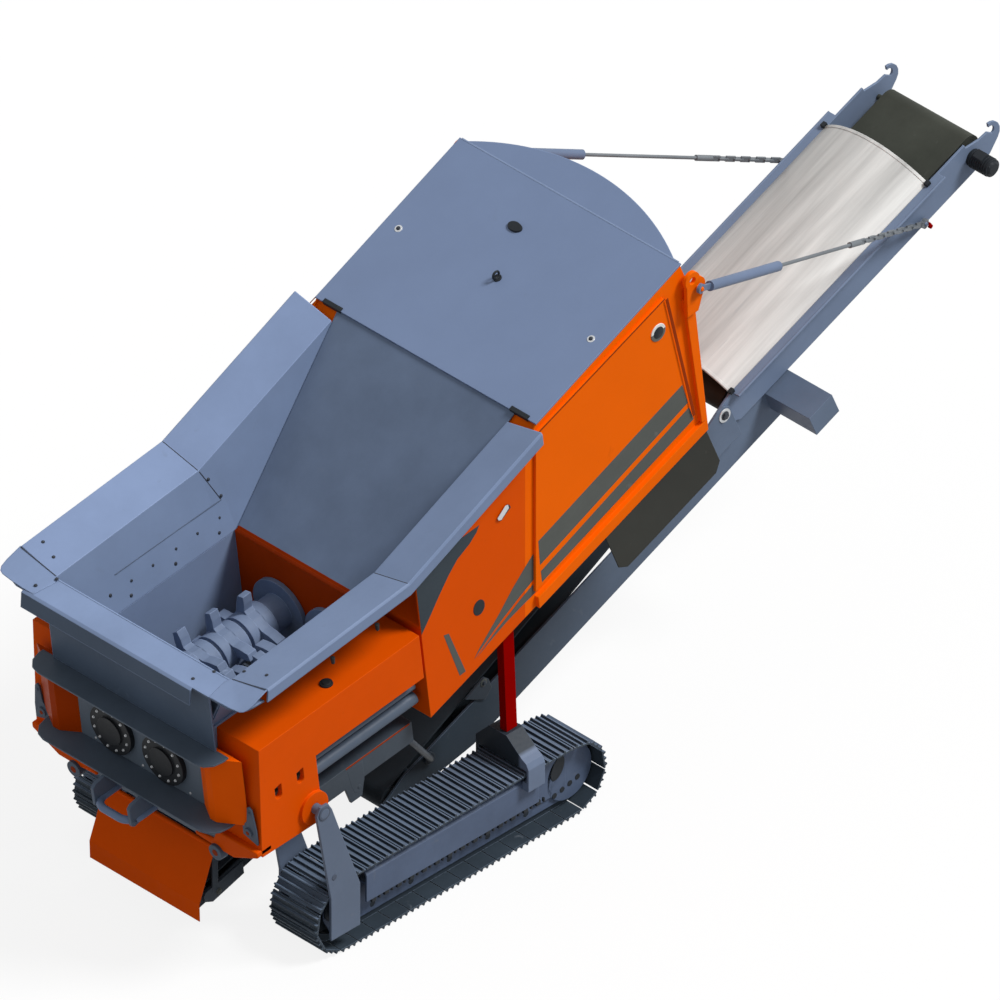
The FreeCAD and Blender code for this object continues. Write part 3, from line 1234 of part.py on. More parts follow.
def lower_belt():
    """Lower belt on its two drums; the drum stubs end in the side plates and brackets."""
    x0, z0 = read("belt_tail"), read("belt_tail_drum")
    x1, z1 = read("belt_head"), read("belt_head_drum")
    length = math.hypot(x1 - x0, z1 - z0)
    slope = math.degrees(math.atan2(z1 - z0, x1 - x0))
    radius = read("drum_radius")
    gap = read("seam")
    half = read("belt_half")
    inside = read("lower_half") - read("boom_plate") - gap
    loop = belt_loop(length, radius + gap, half, read("belt_thick"))
    shape = Part.makeCompound([loop, drum(0, radius, half, read("fold_pin"), inside),
                               drum(length, radius, half, read("fold_pin"), read("boom_half"))])
    place = pitched(read("fold_x"), read("fold_z"), read("tail_angle"))
    return keep(ready("belt_lower", shape, place.multiply(pitched(x0, z0, slope))), "belt_lower")


def feed_belt():
    """Short belt under the crushing box with its two side arms."""
    radius, gap = read("feed_drum"), read("seam")
    length, half = read("feed_length"), read("feed_half")
    loop = belt_loop(length, radius + gap, half, read("belt_thick"))
    inside = half + 18
    shapes = [loop, drum(0, radius, half, read("fold_pin"), inside),
              drum(length, radius, half, read("fold_pin"), inside)]
    deep = read("feed_arm") / 2
    for side in (1, -1):
        low = inside + gap if side > 0 else -inside - gap - read("feed_plate")
        arm = prism([(-60, -deep), (length + 60, -deep), (length + 60, deep), (-60, deep), (-85, 0)],
                    low, low + read("feed_plate"))
        shapes.append(arm)
    place = pitched(-read("feed_tail") - 881, read("feed_low"), read("feed_angle"))
    return keep(ready("feed_belt", Part.makeCompound(shapes), place), "feed_belt")


# Upper conveyor: flanged side plates ending in two transport hooks, cross ties, the
# belt with its drums, an arched cover and the belt motor. It folds up on its bolts.


def hook_outline():
    """Head end of a side plate with its hook, as (x, z) points."""
    end, reach, low = read("boom_end"), read("hook_reach"), read("boom_low")
    bend, throat = read("hook_bend"), read("hook_throat")
    points = [(end - 30, low), (reach - 150, low + 12)]
    for degrees in (-60, -35, -10, 15, 40, 62, 80):
        turn = math.radians(degrees)
        points.append((reach - bend + bend * math.cos(turn), -25 + bend * math.sin(turn)))
    for degrees in (96, 66, 36, 6, -24, -54, -80):
        turn = math.radians(degrees)
        points.append((reach - 79 + throat * math.cos(turn), throat * math.sin(turn)))
    points += [(reach - 104, 8), (reach - 182, 16), (end - 10, 62), (end - 30, read("boom_high") - 12)]
    return points


def conveyor_upper():
    parts = []
    for side in (1, -1):
        cheek = [("boom_start", "-90"), ("0", "boom_low * 0.55"), ("110", "boom_low"), ("boom_end", "boom_low"),
                 ("boom_end", "boom_high"), ("110", "boom_high"), ("boom_start", "40")]
        cheek_part = spread("upper_cheek_" + side_name(side), "XZ", cheek, "boom_half - boom_plate", "boom_half",
                            side, BOOM)
        flange = [("130", "boom_high - 12"), ("boom_end - 260", "boom_high - 12"), ("boom_end - 260", "boom_high"),
                  ("130", "boom_high")]
        flange_part = spread("upper_flange_" + side_name(side), "XZ", flange, "boom_half",
                             "boom_half + boom_flange", side, BOOM)
        low = side * read("boom_half") if side < 0 else read("boom_half") - read("boom_plate")
        hook = ready("hook_" + side_name(side), prism(hook_outline(), low, low + read("boom_plate")), BOOM_PLACE)
        pieces = join("upper_side_" + side_name(side), [cheek_part, flange_part, hook])
        bore = side_rod("upper_bore_" + side_name(side), "fold_pin + 0.1", "boom_half - 60", "boom_half + 5", side,
                        BOOM, "0", "0")
        parts.append(trim("upper_drilled_" + side_name(side), pieces, [bore]))
        parts.append(side_rod("shackle_pin_" + side_name(side), "stay_pin", "boom_half", "shackle_place + 22", side,
                              BOOM, "shackle_along", "shackle_height"))
        parts.append(ball("shackle_ball_" + side_name(side), BOOM, "shackle_along",
                          "shackle_place" if side > 0 else "-shackle_place", "shackle_height"))
    for k, x in enumerate(("420", "1300", "2200")):
        parts.append(rod("upper_tie_%d" % k, "18", "2 * boom_half - boom_plate", BOOM,
                         (x, "-boom_half + boom_plate / 2", "0 - 92"), "Y"))
    return keep(join("conveyor_upper", parts), "conveyor_upper")


def upper_belt():
    radius, gap, half = read("drum_radius"), read("seam"), read("belt_half")
    length = read("upper_head") - read("upper_tail")
    inside = read("boom_half") - read("boom_plate") - gap
    loop = belt_loop(length, radius + gap, half, read("belt_thick"))
    shape = Part.makeCompound([loop, drum(0, radius, half, read("fold_pin"), inside),
                               drum(length, radius, half, read("fold_pin"), inside)])
    local = Placement(Vector(read("upper_tail"), 0, read("upper_drum")), Rotation())
    return keep(ready("belt_upper", shape, BOOM_PLACE.multiply(local)), "belt_upper")


def belt_cover():
    """Arched sheet over the upper belt, its feet on the side plates."""
    half, rise, thick = read("boom_half") - 8, read("cover_rise"), read("cover_sheet")
    start, end = read("cover_start"), read("cover_end")
    foot = read("boom_high") + read("seam")
    outer = Part.Arc(Vector(start, -half, foot), Vector(start, 0, foot + rise), Vector(start, half, foot))
    inner = Part.Arc(Vector(start, half - thick * 1.6, foot), Vector(start, 0, foot + rise - thick),
                     Vector(start, -half + thick * 1.6, foot))
    wire = Part.Wire([outer.toShape(),
                      Part.LineSegment(Vector(start, half, foot), Vector(start, half - thick * 1.6, foot)).toShape(),
                      inner.toShape(),
                      Part.LineSegment(Vector(start, -half + thick * 1.6, foot), Vector(start, -half, foot)).toShape()])
    arch = Part.Face(wire).extrude(Vector(end - start, 0, 0))
    return keep(ready("belt_cover", arch, BOOM_PLACE), "belt_cover")


def belt_motor():
    """Black belt motor on the head drum's near end."""
    start = "-boom_half - seam - motor_length"
    body = rod("motor_body", "motor_radius", "motor_length", BOOM, ("upper_head - 58", start, "upper_drum + 32"), "Y")
    return keep(body, "belt_motor")


# Stays: a ram from the lug on the housing and, at the end of its rod, a short chain
# down to a shackle on the upper conveyor.


def stay_ends(side):
    """The lug pin and the shackle pin, both on the stay's own line, on one side."""
    lug = DECK_PLACE.multVec(Vector(read("lug_x"), 0, read("lug_z")))
    lug.y = side * (read("housing_half") + read("frame_proud") + read("seam") + read("lug_plate") + read("stay_stand"))
    shackle = BOOM_PLACE.multVec(Vector(read("shackle_along"), side * read("shackle_place"), read("shackle_height")))
    return lug, shackle


def stay_place(side):
    """Frame at the lug pin with its x axis along the stay."""
    lug, shackle = stay_ends(side)
    along = (shackle - lug).normalize()
    across = Vector(0, 0, 1).cross(along).normalize()
    up = along.cross(across)
    return Placement(lug, Rotation(along, across, up, "XZY"))


def stay_length():
    lug, shackle = stay_ends(1)
    return (shackle - lug).Length


def ball_seat(middle):
    """What an eye loses to the ball it swings on."""
    return Part.makeSphere(read("stay_ball") + read("seam"), middle)


def stay_barrel(side):
    name = "stay_barrel_" + side_name(side)
    length, neck_length = read("barrel_length"), read("barrel_floor") - 25
    tube = Part.makeCylinder(read("barrel_radius"), length - neck_length, Vector(neck_length, 0, 0), Vector(1, 0, 0))
    eye = Part.makeCylinder(34, 22, Vector(0, -11, 0), Vector(0, 1, 0))
    neck = Part.makeBox(neck_length - 10, 16, 40, Vector(18, -8, -20))
    bore = Part.makeCylinder(read("barrel_bore"), length, Vector(read("barrel_floor"), 0, 0), Vector(1, 0, 0))
    body = tube.fuse([eye, neck]).cut(bore).removeSplitter()
    place = stay_place(side)
    body.Placement = place
    return keep(ready(name, body.cut(ball_seat(stay_ends(side)[0]))), name)


def stay_chain(side):
    """Ram rod with its fork, the taut chain and the shackle eye, as one rigid line."""
    name = "stay_chain_" + side_name(side)
    total = stay_length()
    rod_bar = Part.makeCylinder(read("rod_radius"), read("rod_end") - read("rod_start"),
                                Vector(read("rod_start"), 0, 0), Vector(1, 0, 0))
    fork = Part.makeCylinder(read("rod_radius") * 1.7, read("fork_length"), Vector(read("rod_end") - 10, 0, 0),
                             Vector(1, 0, 0))
    chain_start = read("rod_end") - 10 + read("fork_length")
    chain_end = total - 46
    count = int(round((chain_end - chain_start) / read("link_pitch")))
    pitch = (chain_end - chain_start) / count
    pieces = [fork]
    wide, thin = read("link_wide"), read("link_thin")
    for k in range(count):
        x = chain_start + k * pitch - thin
        y, z = (wide, thin) if k % 2 else (thin, wide)
        link = Part.makeBox(pitch + 2 * thin, 2 * y, 2 * z, Vector(x, -y, -z))
        pieces.append(link)
    shackle = Part.makeCylinder(34, 24, Vector(total, -12, 0), Vector(0, 1, 0))
    bow = Part.makeBox(40, 24, 36, Vector(chain_end - 4, -12, -18))
    whole = rod_bar.fuse(pieces + [bow, shackle]).removeSplitter()
    whole.Placement = stay_place(side)
    return keep(ready(name, whole.cut(ball_seat(stay_ends(side)[1]))), name)


for side in (1, -1):
    track_belt(side)
    track_wheels(side)
    track_frame(side)
    front_stand(side)
    rear_arch(side)
    lift_prop(side)
    rotor(side)
    side_box(side)
    hopper_side(side)
    engine_door(side)
    stay_barrel(side)
    stay_chain(side)
chassis()
crusher_box()
front_shelves()
bearing_covers()
towing_bail()
front_corners()
long_pipes()
front_flap()
hopper_front()
hopper_slope()
hood()
engine_housing()
side_skirts()
lifting_lugs()
conveyor_lower()
lower_belt()
feed_belt()
conveyor_upper()
upper_belt()
belt_cover()
belt_motor()

doc.recompute()

for obj in doc.Objects:
    if "Invalid" in obj.State or "Error" in obj.State:
        raise RuntimeError("%s did not build: %s" % (obj.Label, obj.State))
for node in NODES:
    if node.Shape.isNull() or not node.Shape.isValid():
        raise RuntimeError("%s has no sound shape" % node.Label)

os.makedirs("parts", exist_ok=True)
whole = None
for node in NODES:
    node.Shape.exportStep("parts/%s.step" % node.Label)
    print("%-22s solids %3d volume %.4f m3" % (node.Label, len(node.Shape.Solids), node.Shape.Volume / 1e9))
    box = node.Shape.BoundBox
    if whole is None:
        whole = FreeCAD.BoundBox(box)
    else:
        whole.add(box)
print("box", whole)
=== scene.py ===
import math

import bmesh
import bpy
from mathutils import Matrix, Vector


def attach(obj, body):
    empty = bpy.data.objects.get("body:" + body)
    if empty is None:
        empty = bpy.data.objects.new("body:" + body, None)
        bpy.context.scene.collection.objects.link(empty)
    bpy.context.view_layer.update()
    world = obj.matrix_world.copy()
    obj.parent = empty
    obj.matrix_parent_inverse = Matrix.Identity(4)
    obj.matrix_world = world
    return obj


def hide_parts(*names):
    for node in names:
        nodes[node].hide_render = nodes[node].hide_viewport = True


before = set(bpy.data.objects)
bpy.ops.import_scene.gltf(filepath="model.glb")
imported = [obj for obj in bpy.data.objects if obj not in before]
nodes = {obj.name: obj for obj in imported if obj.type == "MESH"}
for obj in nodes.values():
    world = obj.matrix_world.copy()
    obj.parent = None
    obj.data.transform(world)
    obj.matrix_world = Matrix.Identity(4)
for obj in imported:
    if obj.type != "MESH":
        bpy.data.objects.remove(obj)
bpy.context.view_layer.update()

# Studio: a long lens high over the front right corner, so that parallel edges stay
# parallel, as on a maker's data sheet. The background is white paper.

camera = bpy.data.objects.new("camera", bpy.data.cameras.new("camera"))
bpy.context.scene.collection.objects.link(camera)
look_at = Vector((-0.279, 0.0, 1.738))
picture_width = 6.4516
view_line = Vector((-1, -1, 1)).normalized()
camera.data.lens = 1500
camera.data.sensor_width = 36
distance = picture_width * camera.data.lens / camera.data.sensor_width
camera.location = look_at + view_line * distance
camera.rotation_euler = (-view_line).to_track_quat("-Z", "Y").to_euler()
camera.data.clip_end = 2000
bpy.context.scene.camera = camera
bpy.context.scene.view_settings.view_transform = "Standard"

sun = bpy.data.objects.new("sun", bpy.data.lights.new("sun", "SUN"))
bpy.context.scene.collection.objects.link(sun)
sun.data.energy = 2.6
sun.data.angle = 0.30
sun.rotation_euler = Vector((-0.35, 0.45, -0.78)).to_track_quat("-Z", "Y").to_euler()


def seen_ray(tree):
    """One where the camera, a mirror or glass looks, and nought for the light itself."""
    ray = tree.nodes.new("ShaderNodeLightPath")
    straight = tree.nodes.new("ShaderNodeMath")
    straight.operation = "MAXIMUM"
    either = tree.nodes.new("ShaderNodeMath")
    either.operation = "MAXIMUM"
    tree.links.new(ray.outputs["Is Camera Ray"], straight.inputs[0])
    tree.links.new(ray.outputs["Is Transmission Ray"], straight.inputs[1])
    tree.links.new(straight.outputs[0], either.inputs[0])
    tree.links.new(ray.outputs["Is Glossy Ray"], either.inputs[1])
    return either.outputs[0]


world = bpy.data.worlds.new("studio")
bpy.context.scene.world = world
world.use_nodes = True
world_tree = world.node_tree
world_back = world_tree.nodes["Background"]
world_back.inputs["Color"].default_value = (1, 1, 1, 1)
world_mix = world_tree.nodes.new("ShaderNodeMix")
world_mix.data_type = "FLOAT"
world_mix.inputs[2].default_value = 0.42
world_mix.inputs[3].default_value = 1.0
world_tree.links.new(seen_ray(world_tree), world_mix.inputs[0])
world_tree.links.new(world_mix.outputs[0], world_back.inputs["Strength"])

floor_mesh = bpy.data.meshes.new("floor")
floor_bm = bmesh.new()
bmesh.ops.create_grid(floor_bm, x_segments=1, y_segments=1, size=60)
floor_bm.to_mesh(floor_mesh)
floor_bm.free()
floor = bpy.data.objects.new("floor", floor_mesh)
bpy.context.scene.collection.objects.link(floor)
paper = bpy.data.materials.new("white paper")
paper.use_nodes = True
tree = paper.node_tree
tree.nodes.clear()
paper_out = tree.nodes.new("ShaderNodeOutputMaterial")
paper_mix = tree.nodes.new("ShaderNodeMixShader")
paper_seen = tree.nodes.new("ShaderNodeMixShader")
paper_seen.inputs[0].default_value = 0.14
paper_light = tree.nodes.new("ShaderNodeEmission")
paper_flat = tree.nodes.new("ShaderNodeBsdfDiffuse")
paper_flat.inputs["Color"].default_value = (0.95, 0.95, 0.95, 1)
paper_dull = tree.nodes.new("ShaderNodeBsdfDiffuse")
paper_dull.inputs["Color"].default_value = (0.30, 0.30, 0.31, 1)
tree.links.new(paper_light.outputs[0], paper_seen.inputs[1])
tree.links.new(paper_flat.outputs[0], paper_seen.inputs[2])
tree.links.new(seen_ray(tree), paper_mix.inputs[0])
tree.links.new(paper_dull.outputs[0], paper_mix.inputs[1])
tree.links.new(paper_seen.outputs[0], paper_mix.inputs[2])
tree.links.new(paper_mix.outputs[0], paper_out.inputs[0])
floor_mesh.materials.append(paper)


def paint(name, colour, worn, gloss=0.42, dust=0.20, metal=0.0, scale=1.0, rub=0.04, shine=0.16,
          edge=0.006, wear=0.55, second=None, level_dust_light_and_shade=None, drawn=None):
    """A coat on blasted steel, with cloudy depth, scuffs, and lighter edges that are part wear and
    part painted highlight of rounded folds. second = (direction, start, end, colour) changes the
    coat along a line, settled = (height, colour) recolours level faces above a height with dust
    and with painted light and shade, and drawn = (slope, stretch) draws the clouds out."""
    material = bpy.data.materials.new(name)
    material.use_nodes = True
    tree = material.node_tree
    shader = tree.nodes["Principled BSDF"]
    where = tree.nodes.new("ShaderNodeTexCoord").outputs["Object"]
    grain = where
    if drawn:
        mapping = tree.nodes.new("ShaderNodeMapping")
        mapping.vector_type = "TEXTURE"
        mapping.inputs["Rotation"].default_value = (0, math.radians(drawn[0]), 0)
        mapping.inputs["Scale"].default_value = drawn[1]
        tree.links.new(where, mapping.inputs["Vector"])
        grain = mapping.outputs["Vector"]
    cloud = tree.nodes.new("ShaderNodeTexNoise")
    cloud.inputs["Scale"].default_value = 2.1 * scale
    cloud.inputs["Detail"].default_value = 6
    cloud.inputs["Roughness"].default_value = 0.6
    fine = tree.nodes.new("ShaderNodeTexNoise")
    fine.inputs["Scale"].default_value = 38 * scale
    fine.inputs["Detail"].default_value = 4
    scuff = tree.nodes.new("ShaderNodeTexNoise")
    scuff.inputs["Scale"].default_value = 9 * scale
    scuff.inputs["Detail"].default_value = 9
    scuff.inputs["Distortion"].default_value = 0.7
    tree.links.new(grain, cloud.inputs["Vector"])
    tree.links.new(where, fine.inputs["Vector"])
    tree.links.new(grain, scuff.inputs["Vector"])

    def depth_of(base):
        ramp = tree.nodes.new("ShaderNodeValToRGB")
        ramp.color_ramp.elements[0].position = 0.30
        ramp.color_ramp.elements[0].color = tuple(c * (1 - dust * 0.5) for c in base) + (1,)
        ramp.color_ramp.elements[1].position = 0.72
        ramp.color_ramp.elements[1].color = tuple(min(1, c * (1 + dust * 0.35)) for c in base) + (1,)
        tree.links.new(cloud.outputs["Fac"], ramp.inputs[0])
        return ramp.outputs["Color"]

    def blend(amount, first, other):
        mix = tree.nodes.new("ShaderNodeMix")
        mix.data_type = "RGBA"
        tree.links.new(amount, mix.inputs[0])
        tree.links.new(first, mix.inputs[6])
        if isinstance(other, tuple):
            mix.inputs[7].default_value = other + (1,)
        else:
            tree.links.new(other, mix.inputs[7])
        return mix.outputs[2]

    def ranged(value, start, end, top=1.0):
        scaled = tree.nodes.new("ShaderNodeMapRange")
        scaled.inputs["From Min"].default_value = start
        scaled.inputs["From Max"].default_value = end
        scaled.inputs["To Max"].default_value = top
        tree.links.new(value, scaled.inputs["Value"])
        return scaled.outputs["Result"]

    def along(vector, direction):
        turn = tree.nodes.new("ShaderNodeVectorMath")
        turn.operation = "DOT_PRODUCT"
        tree.links.new(vector, turn.inputs[0])
        if isinstance(direction, tuple):
            turn.inputs[1].default_value = direction
        else:
            tree.links.new(direction, turn.inputs[1])
        return turn.outputs["Value"]

    flat = tree.nodes.new("ShaderNodeNewGeometry").outputs["Normal"]
    coat = depth_of(colour)
    if second:
        coat = blend(ranged(along(where, second[0]), second[1], second[2]), coat, depth_of(second[3]))
    # Level faces above a height take another colour: dust on some coats, painted light on sunlit tops and
    # painted shade on tops under an overhang on others.
    if level_dust_light_and_shade:
        level = tree.nodes.new("ShaderNodeMath")
        level.operation = "MULTIPLY"
        tree.links.new(ranged(along(flat, (0.0, 0.0, 1.0)), 0.45, 0.85), level.inputs[0])
        tree.links.new(ranged(along(where, (0.0, 0.0, 1.0)), level_dust_light_and_shade[0], level_dust_light_and_shade[0] + 0.04),
                       level.inputs[1])
        coat = blend(level.outputs[0], coat, depth_of(level_dust_light_and_shade[1]))
    coat = blend(ranged(scuff.outputs["Fac"], 0.66, 0.76, min(1, rub * 8)), coat, tuple(worn))
    # Lighter edges from the bevel normal: part wear, part a painted highlight where rounded folds catch the
    # light.
    soft = tree.nodes.new("ShaderNodeBevel")
    soft.samples = 6
    soft.inputs["Radius"].default_value = edge
    rim = ranged(along(soft.outputs["Normal"], flat), 0.99, 0.86, wear)
    rubbed_and_lit_edge = second[3] if second else level_dust_light_and_shade[1] if level_dust_light_and_shade else colour
    coat = blend(rim, coat, tuple(min(1, c * 1.5 + 0.012) for c in rubbed_and_lit_edge))
    tree.links.new(coat, shader.inputs["Base Color"])
    rough = tree.nodes.new("ShaderNodeMapRange")
    rough.inputs["To Min"].default_value = gloss - 0.08
    rough.inputs["To Max"].default_value = gloss + 0.16
    tree.links.new(fine.outputs["Fac"], rough.inputs["Value"])
    tree.links.new(rough.outputs["Result"], shader.inputs["Roughness"])
    peel = tree.nodes.new("ShaderNodeBump")
    peel.inputs["Strength"].default_value = 0.06
    peel.inputs["Distance"].default_value = 0.004
    tree.links.new(fine.outputs["Fac"], peel.inputs["Height"])
    tree.links.new(soft.outputs["Normal"], peel.inputs["Normal"])
    tree.links.new(peel.outputs["Normal"], shader.inputs["Normal"])
    shader.inputs["Metallic"].default_value = metal
    shader.inputs["Specular IOR Level"].default_value = shine
    return material


def coat_with(material, *names):
    for name in names:
        mesh = nodes[name].data
        mesh.materials.clear()
        mesh.materials.append(material)


def facing(place, point, outward):
    """Frame at a point of another frame, with its Z pointing outward."""
    turn = Vector(outward).to_track_quat("Z", "Y").to_matrix().to_4x4()
    return place @ Matrix.Translation(point) @ turn


def turned(bm, place, steps, sides=28):
    """Turned part of plain and tapered lengths (radius, radius, start, end) along Z."""
    for first, last, start, end in steps:
        bmesh.ops.create_cone(bm, cap_ends=True, segments=sides, radius1=first, radius2=last,
                              depth=end - start,
                              matrix=place @ Matrix.Translation((0, 0, (start + end) / 2)))


def slab(bm, place, corner, opposite):
    """Flat bar or block between two opposite corners, given in either order."""
    low = Vector([min(pair) for pair in zip(corner, opposite)])
    high = Vector([max(pair) for pair in zip(corner, opposite)])
    bmesh.ops.create_cube(bm, size=1, matrix=place @ Matrix.Translation((low + high) / 2)
                          @ Matrix.Diagonal((*(high - low), 1)))


def strip(bm, place, start, end, outward, width, thick):
    """Thin flat strip from one point to another, on a face that looks outward."""
    start, end, outward = Vector(start), Vector(end), Vector(outward).normalized()
    along = (end - start).normalized()
    turn = Matrix((along, outward.cross(along), outward)).transposed().to_4x4()
    bmesh.ops.create_cube(bm, size=1, matrix=place @ Matrix.Translation((start + end) / 2) @ turn
                          @ Matrix.Diagonal(((end - start).length, width, thick, 1)))


def cut_plate(bm, place, outline, low, high):
    """Plate burnt to an outline of (x, z) corners, reaching from one y to another."""
    face = bm.faces.new([bm.verts.new(place @ Vector((x, low, z))) for x, z in outline])
    raised = bmesh.ops.extrude_face_region(bm, geom=[face])
    moved = [part for part in raised["geom"] if isinstance(part, bmesh.types.BMVert)]
    bmesh.ops.translate(bm, verts=moved, vec=place.to_3x3() @ Vector((0, high - low, 0)))


def swept(bm, outline, middle, axis, angle, steps, closed=False):
    """Bar that a closed outline of vertices leaves on its way round an axis."""
    corners = set(outline)
    edges = [edge for edge in bm.edges if corners.issuperset(edge.verts)]
    bmesh.ops.spin(bm, geom=outline + edges, cent=middle, axis=axis, angle=angle, steps=steps,
                   use_merge=closed)


def bolt(bm, place, radius, high):
    """Hexagon head with a chamfered top on its washer."""
    turned(bm, place, [(radius * 1.25, radius * 1.25, -0.002, high * 0.22)], 20)
    turned(bm, place, [(radius, radius, high * 0.2, high * 0.85),
                       (radius, radius * 0.8, high * 0.84, high)], 6)


def finished(name, bm, material, body, slot, bevel=0.0, *replaced):
    """Close the mesh, turn its faces out, and hang it on its body."""
    bmesh.ops.remove_doubles(bm, verts=bm.verts, dist=0.00002)
    bmesh.ops.recalc_face_normals(bm, faces=bm.faces)
    mesh = bpy.data.meshes.new(name)
    bm.to_mesh(mesh)
    bm.free()
    mesh.polygons.foreach_set("use_smooth", [True] * len(mesh.polygons))
    mesh.set_sharp_from_angle(angle=0.6)
    mesh.materials.append(material)
    piece = bpy.data.objects.new(name, mesh)
    bpy.context.scene.collection.objects.link(piece)
    if bevel:
        rounding = piece.modifiers.new("edges", "BEVEL")
        rounding.width = bevel
        rounding.segments = 2
        rounding.limit_method = "ANGLE"
        rounding.angle_limit = 0.7
        rounding.use_clamp_overlap = True
    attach(piece, body)
    if replaced:
        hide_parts(*replaced)
    return piece


# Crawler tracks: pressed steel shoes with three grousers on a link chain, round a
# sprocket, an idler and rollers. Lighter scuffed edges, part wear and part painted highlight;
# level faces above 0.30 m lighter, with dust and with painted light on the upper run.

ground = Matrix.Identity(4)
shoe_steel = paint("scuffed track steel", (0.034, 0.048, 0.064), (0.16, 0.18, 0.21), gloss=0.5, dust=0.5,
                   rub=0.09, shine=0.2, edge=0.004, wear=0.6, level_dust_light_and_shade=(0.30, (0.138, 0.185, 0.262)))
roller_steel = paint("oily roller steel", (0.034, 0.044, 0.058), (0.10, 0.11, 0.12), gloss=0.5, dust=0.4,
                     rub=0.08)
coat_with(shoe_steel, "track_left", "track_right")
coat_with(roller_steel, "track_wheels_left", "track_wheels_right")

# Track frames: welded plate with an outer skin, painted blue-grey. Small dark guide lugs
# hang in a row under the edge of the skin.

beam_grey = paint("track frame paint", (0.092, 0.127, 0.205), (0.15, 0.17, 0.20), dust=0.35, rub=0.06,
                  wear=0.5)
black_iron = paint("black ironwork", (0.018, 0.022, 0.027), (0.07, 0.075, 0.08), gloss=0.5, dust=0.4,
                   rub=0.06)
coat_with(beam_grey, "track_frame_left", "track_frame_right")
first_lug, lug_pitch = -2.50, 0.115
for side, hand in ((1, "left"), (-1, "right")):
    lugs = bmesh.new()
    for k in range(14):
        x = first_lug + lug_pitch * k
        slab(lugs, ground, (x - 0.020, side * 1.060, 0.228), (x + 0.020, side * 1.079, 0.262))
        turned(lugs, facing(ground, (x + 0.052, side * 1.070, 0.240), (0, 0, 1)),
               [(0.010, 0.010, -0.008, 0.020)], 10)
    finished("guide_lugs_" + hand, lugs, black_iron, "machine", "track_steel", 0.003)

# Final drives: a flat side plate with thin black discs on it, an oval one for a large hand hole
# and small ones along its foot for openings to the gearbox: painted shade of holes. The idler has
# a plain cap with a ring of bolts.

drive_middle = Vector((-0.664, 0, 0.2875))
idler_middle = Vector((-2.7875, 0, 0.2875))
drive_face, drive_thick = 1.001, 0.016
hole_face = drive_face + drive_thick + 0.0002
for side, hand in ((1, "left"), (-1, "right")):
    plate = bmesh.new()
    place = facing(ground, drive_middle + Vector((0, side * drive_face, 0)), (0, side, 0))
    turned(plate, place, [(0.205, 0.205, 0, drive_thick)], 48)
    slab(plate, ground, (-0.98, side * drive_face, 0.17), (-0.70, side * (drive_face + drive_thick), 0.47))
    finished("drive_plate_" + hand, plate, beam_grey, "machine", "track_steel", 0.004)
    hole = bmesh.new()
    tilted = Matrix.Rotation(0.45 * side, 4, "Z") @ Matrix.Diagonal((0.60, 1, 1, 1))
    turned(hole, facing(ground, (-0.772, side * hole_face, 0.372), (0, side, 0)) @ tilted,
           [(0.092, 0.088, 0, 0.003)], 36)
    for k in range(4):
        turned(hole, facing(ground, (-0.80 + 0.070 * k, side * hole_face, 0.168 + 0.016 * k), (0, side, 0)),
               [(0.022, 0.020, 0, 0.003)], 18)
    finished("drive_hand_hole_" + hand, hole, black_iron, "machine", "track_steel")
    cap = bmesh.new()
    place = facing(ground, idler_middle + Vector((0, side * 0.93, 0)), (0, side, 0))
    turned(cap, place, [(0.095, 0.095, 0, 0.085), (0.095, 0.07, 0.085, 0.10)], 32)
    for k in range(6):
        bolt(cap, place @ Matrix.Rotation(math.tau * k / 6, 4, "Z") @ Matrix.Translation((0.052, 0, 0.10)),
             0.010, 0.010)
    finished("idler_cap_" + hand, cap, roller_steel, "machine", "track_steel", 0.002)

# Front stands: welded plate legs that carry the tilt pins. The pin has a round cap, and a small
# darker disc low in the leg stands for a drain hole: painted shade.

pin_x, pin_z, deck_tilt = -3.005, 1.21, math.radians(-7)
PINS = Matrix.Translation((pin_x, 0, pin_z))
DECK = PINS @ Matrix.Rotation(deck_tilt, 4, "Y")
stand_grey = paint("stand blue grey paint", (0.120, 0.156, 0.225), (0.16, 0.18, 0.22), dust=0.2)
cap_grey = paint("pin cap paint", (0.078, 0.098, 0.140), (0.15, 0.17, 0.2), dust=0.25)
coat_with(stand_grey, "front_stand_left", "front_stand_right")
leg_face = 1.1362
for side, hand in ((1, "left"), (-1, "right")):
    cap = bmesh.new()
    turned(cap, facing(DECK, (0, side * leg_face, 0), (0, side, 0)), [(0.052, 0.050, 0, 0.0055)], 36)
    turned(cap, facing(DECK, (0.020, side * leg_face, -0.555), (0, side, 0)),
           [(0.022, 0.022, 0, 0.002)], 24)
    finished("pin_cap_" + hand, cap, cap_grey, "machine", "steel_blue", 0.001)

# Lifting arches: heavy bent plate straddling the track, painted dark on top for shade and lighter
# on the rounded outer shoulder for a painted highlight. The ram of the lift stands on them in a red
# locking channel.

for side, hand in ((1.0, "left"), (-1.0, "right")):
    arch_shade_and_highlight = paint("arch paint " + hand, (0.027, 0.036, 0.048), (0.12, 0.13, 0.15), dust=0.3, wear=0.4,
                      second=((0.0, side, 0.0), 1.040, 1.062, (0.150, 0.196, 0.290)))
    coat_with(arch_shade_and_highlight, "rear_arch_" + hand)
prop_red = paint("red paint", (0.31, 0.0012, 0.0006), (0.20, 0.02, 0.02), shine=0.0, dust=0.25)
rod_steel = paint("ground rod steel", (0.42, 0.44, 0.47), (0.30, 0.31, 0.33), gloss=0.24, metal=0.8,
                  shine=0.5, edge=0.002, wear=0.2)
coat_with(prop_red, "lift_prop_left", "lift_prop_right")
for side, hand in ((1, "left"), (-1, "right")):
    LIFT = Matrix.Translation((-1.080, side * 0.880, 0.7872)) @ Matrix.Rotation(math.radians(-2.5), 4, "Y")
    rod = bmesh.new()
    turned(rod, LIFT, [(0.0222, 0.0222, 0.012, 0.846)], 24)
    finished("lift_rod_" + hand, rod, rod_steel, "machine", "stay_steel")
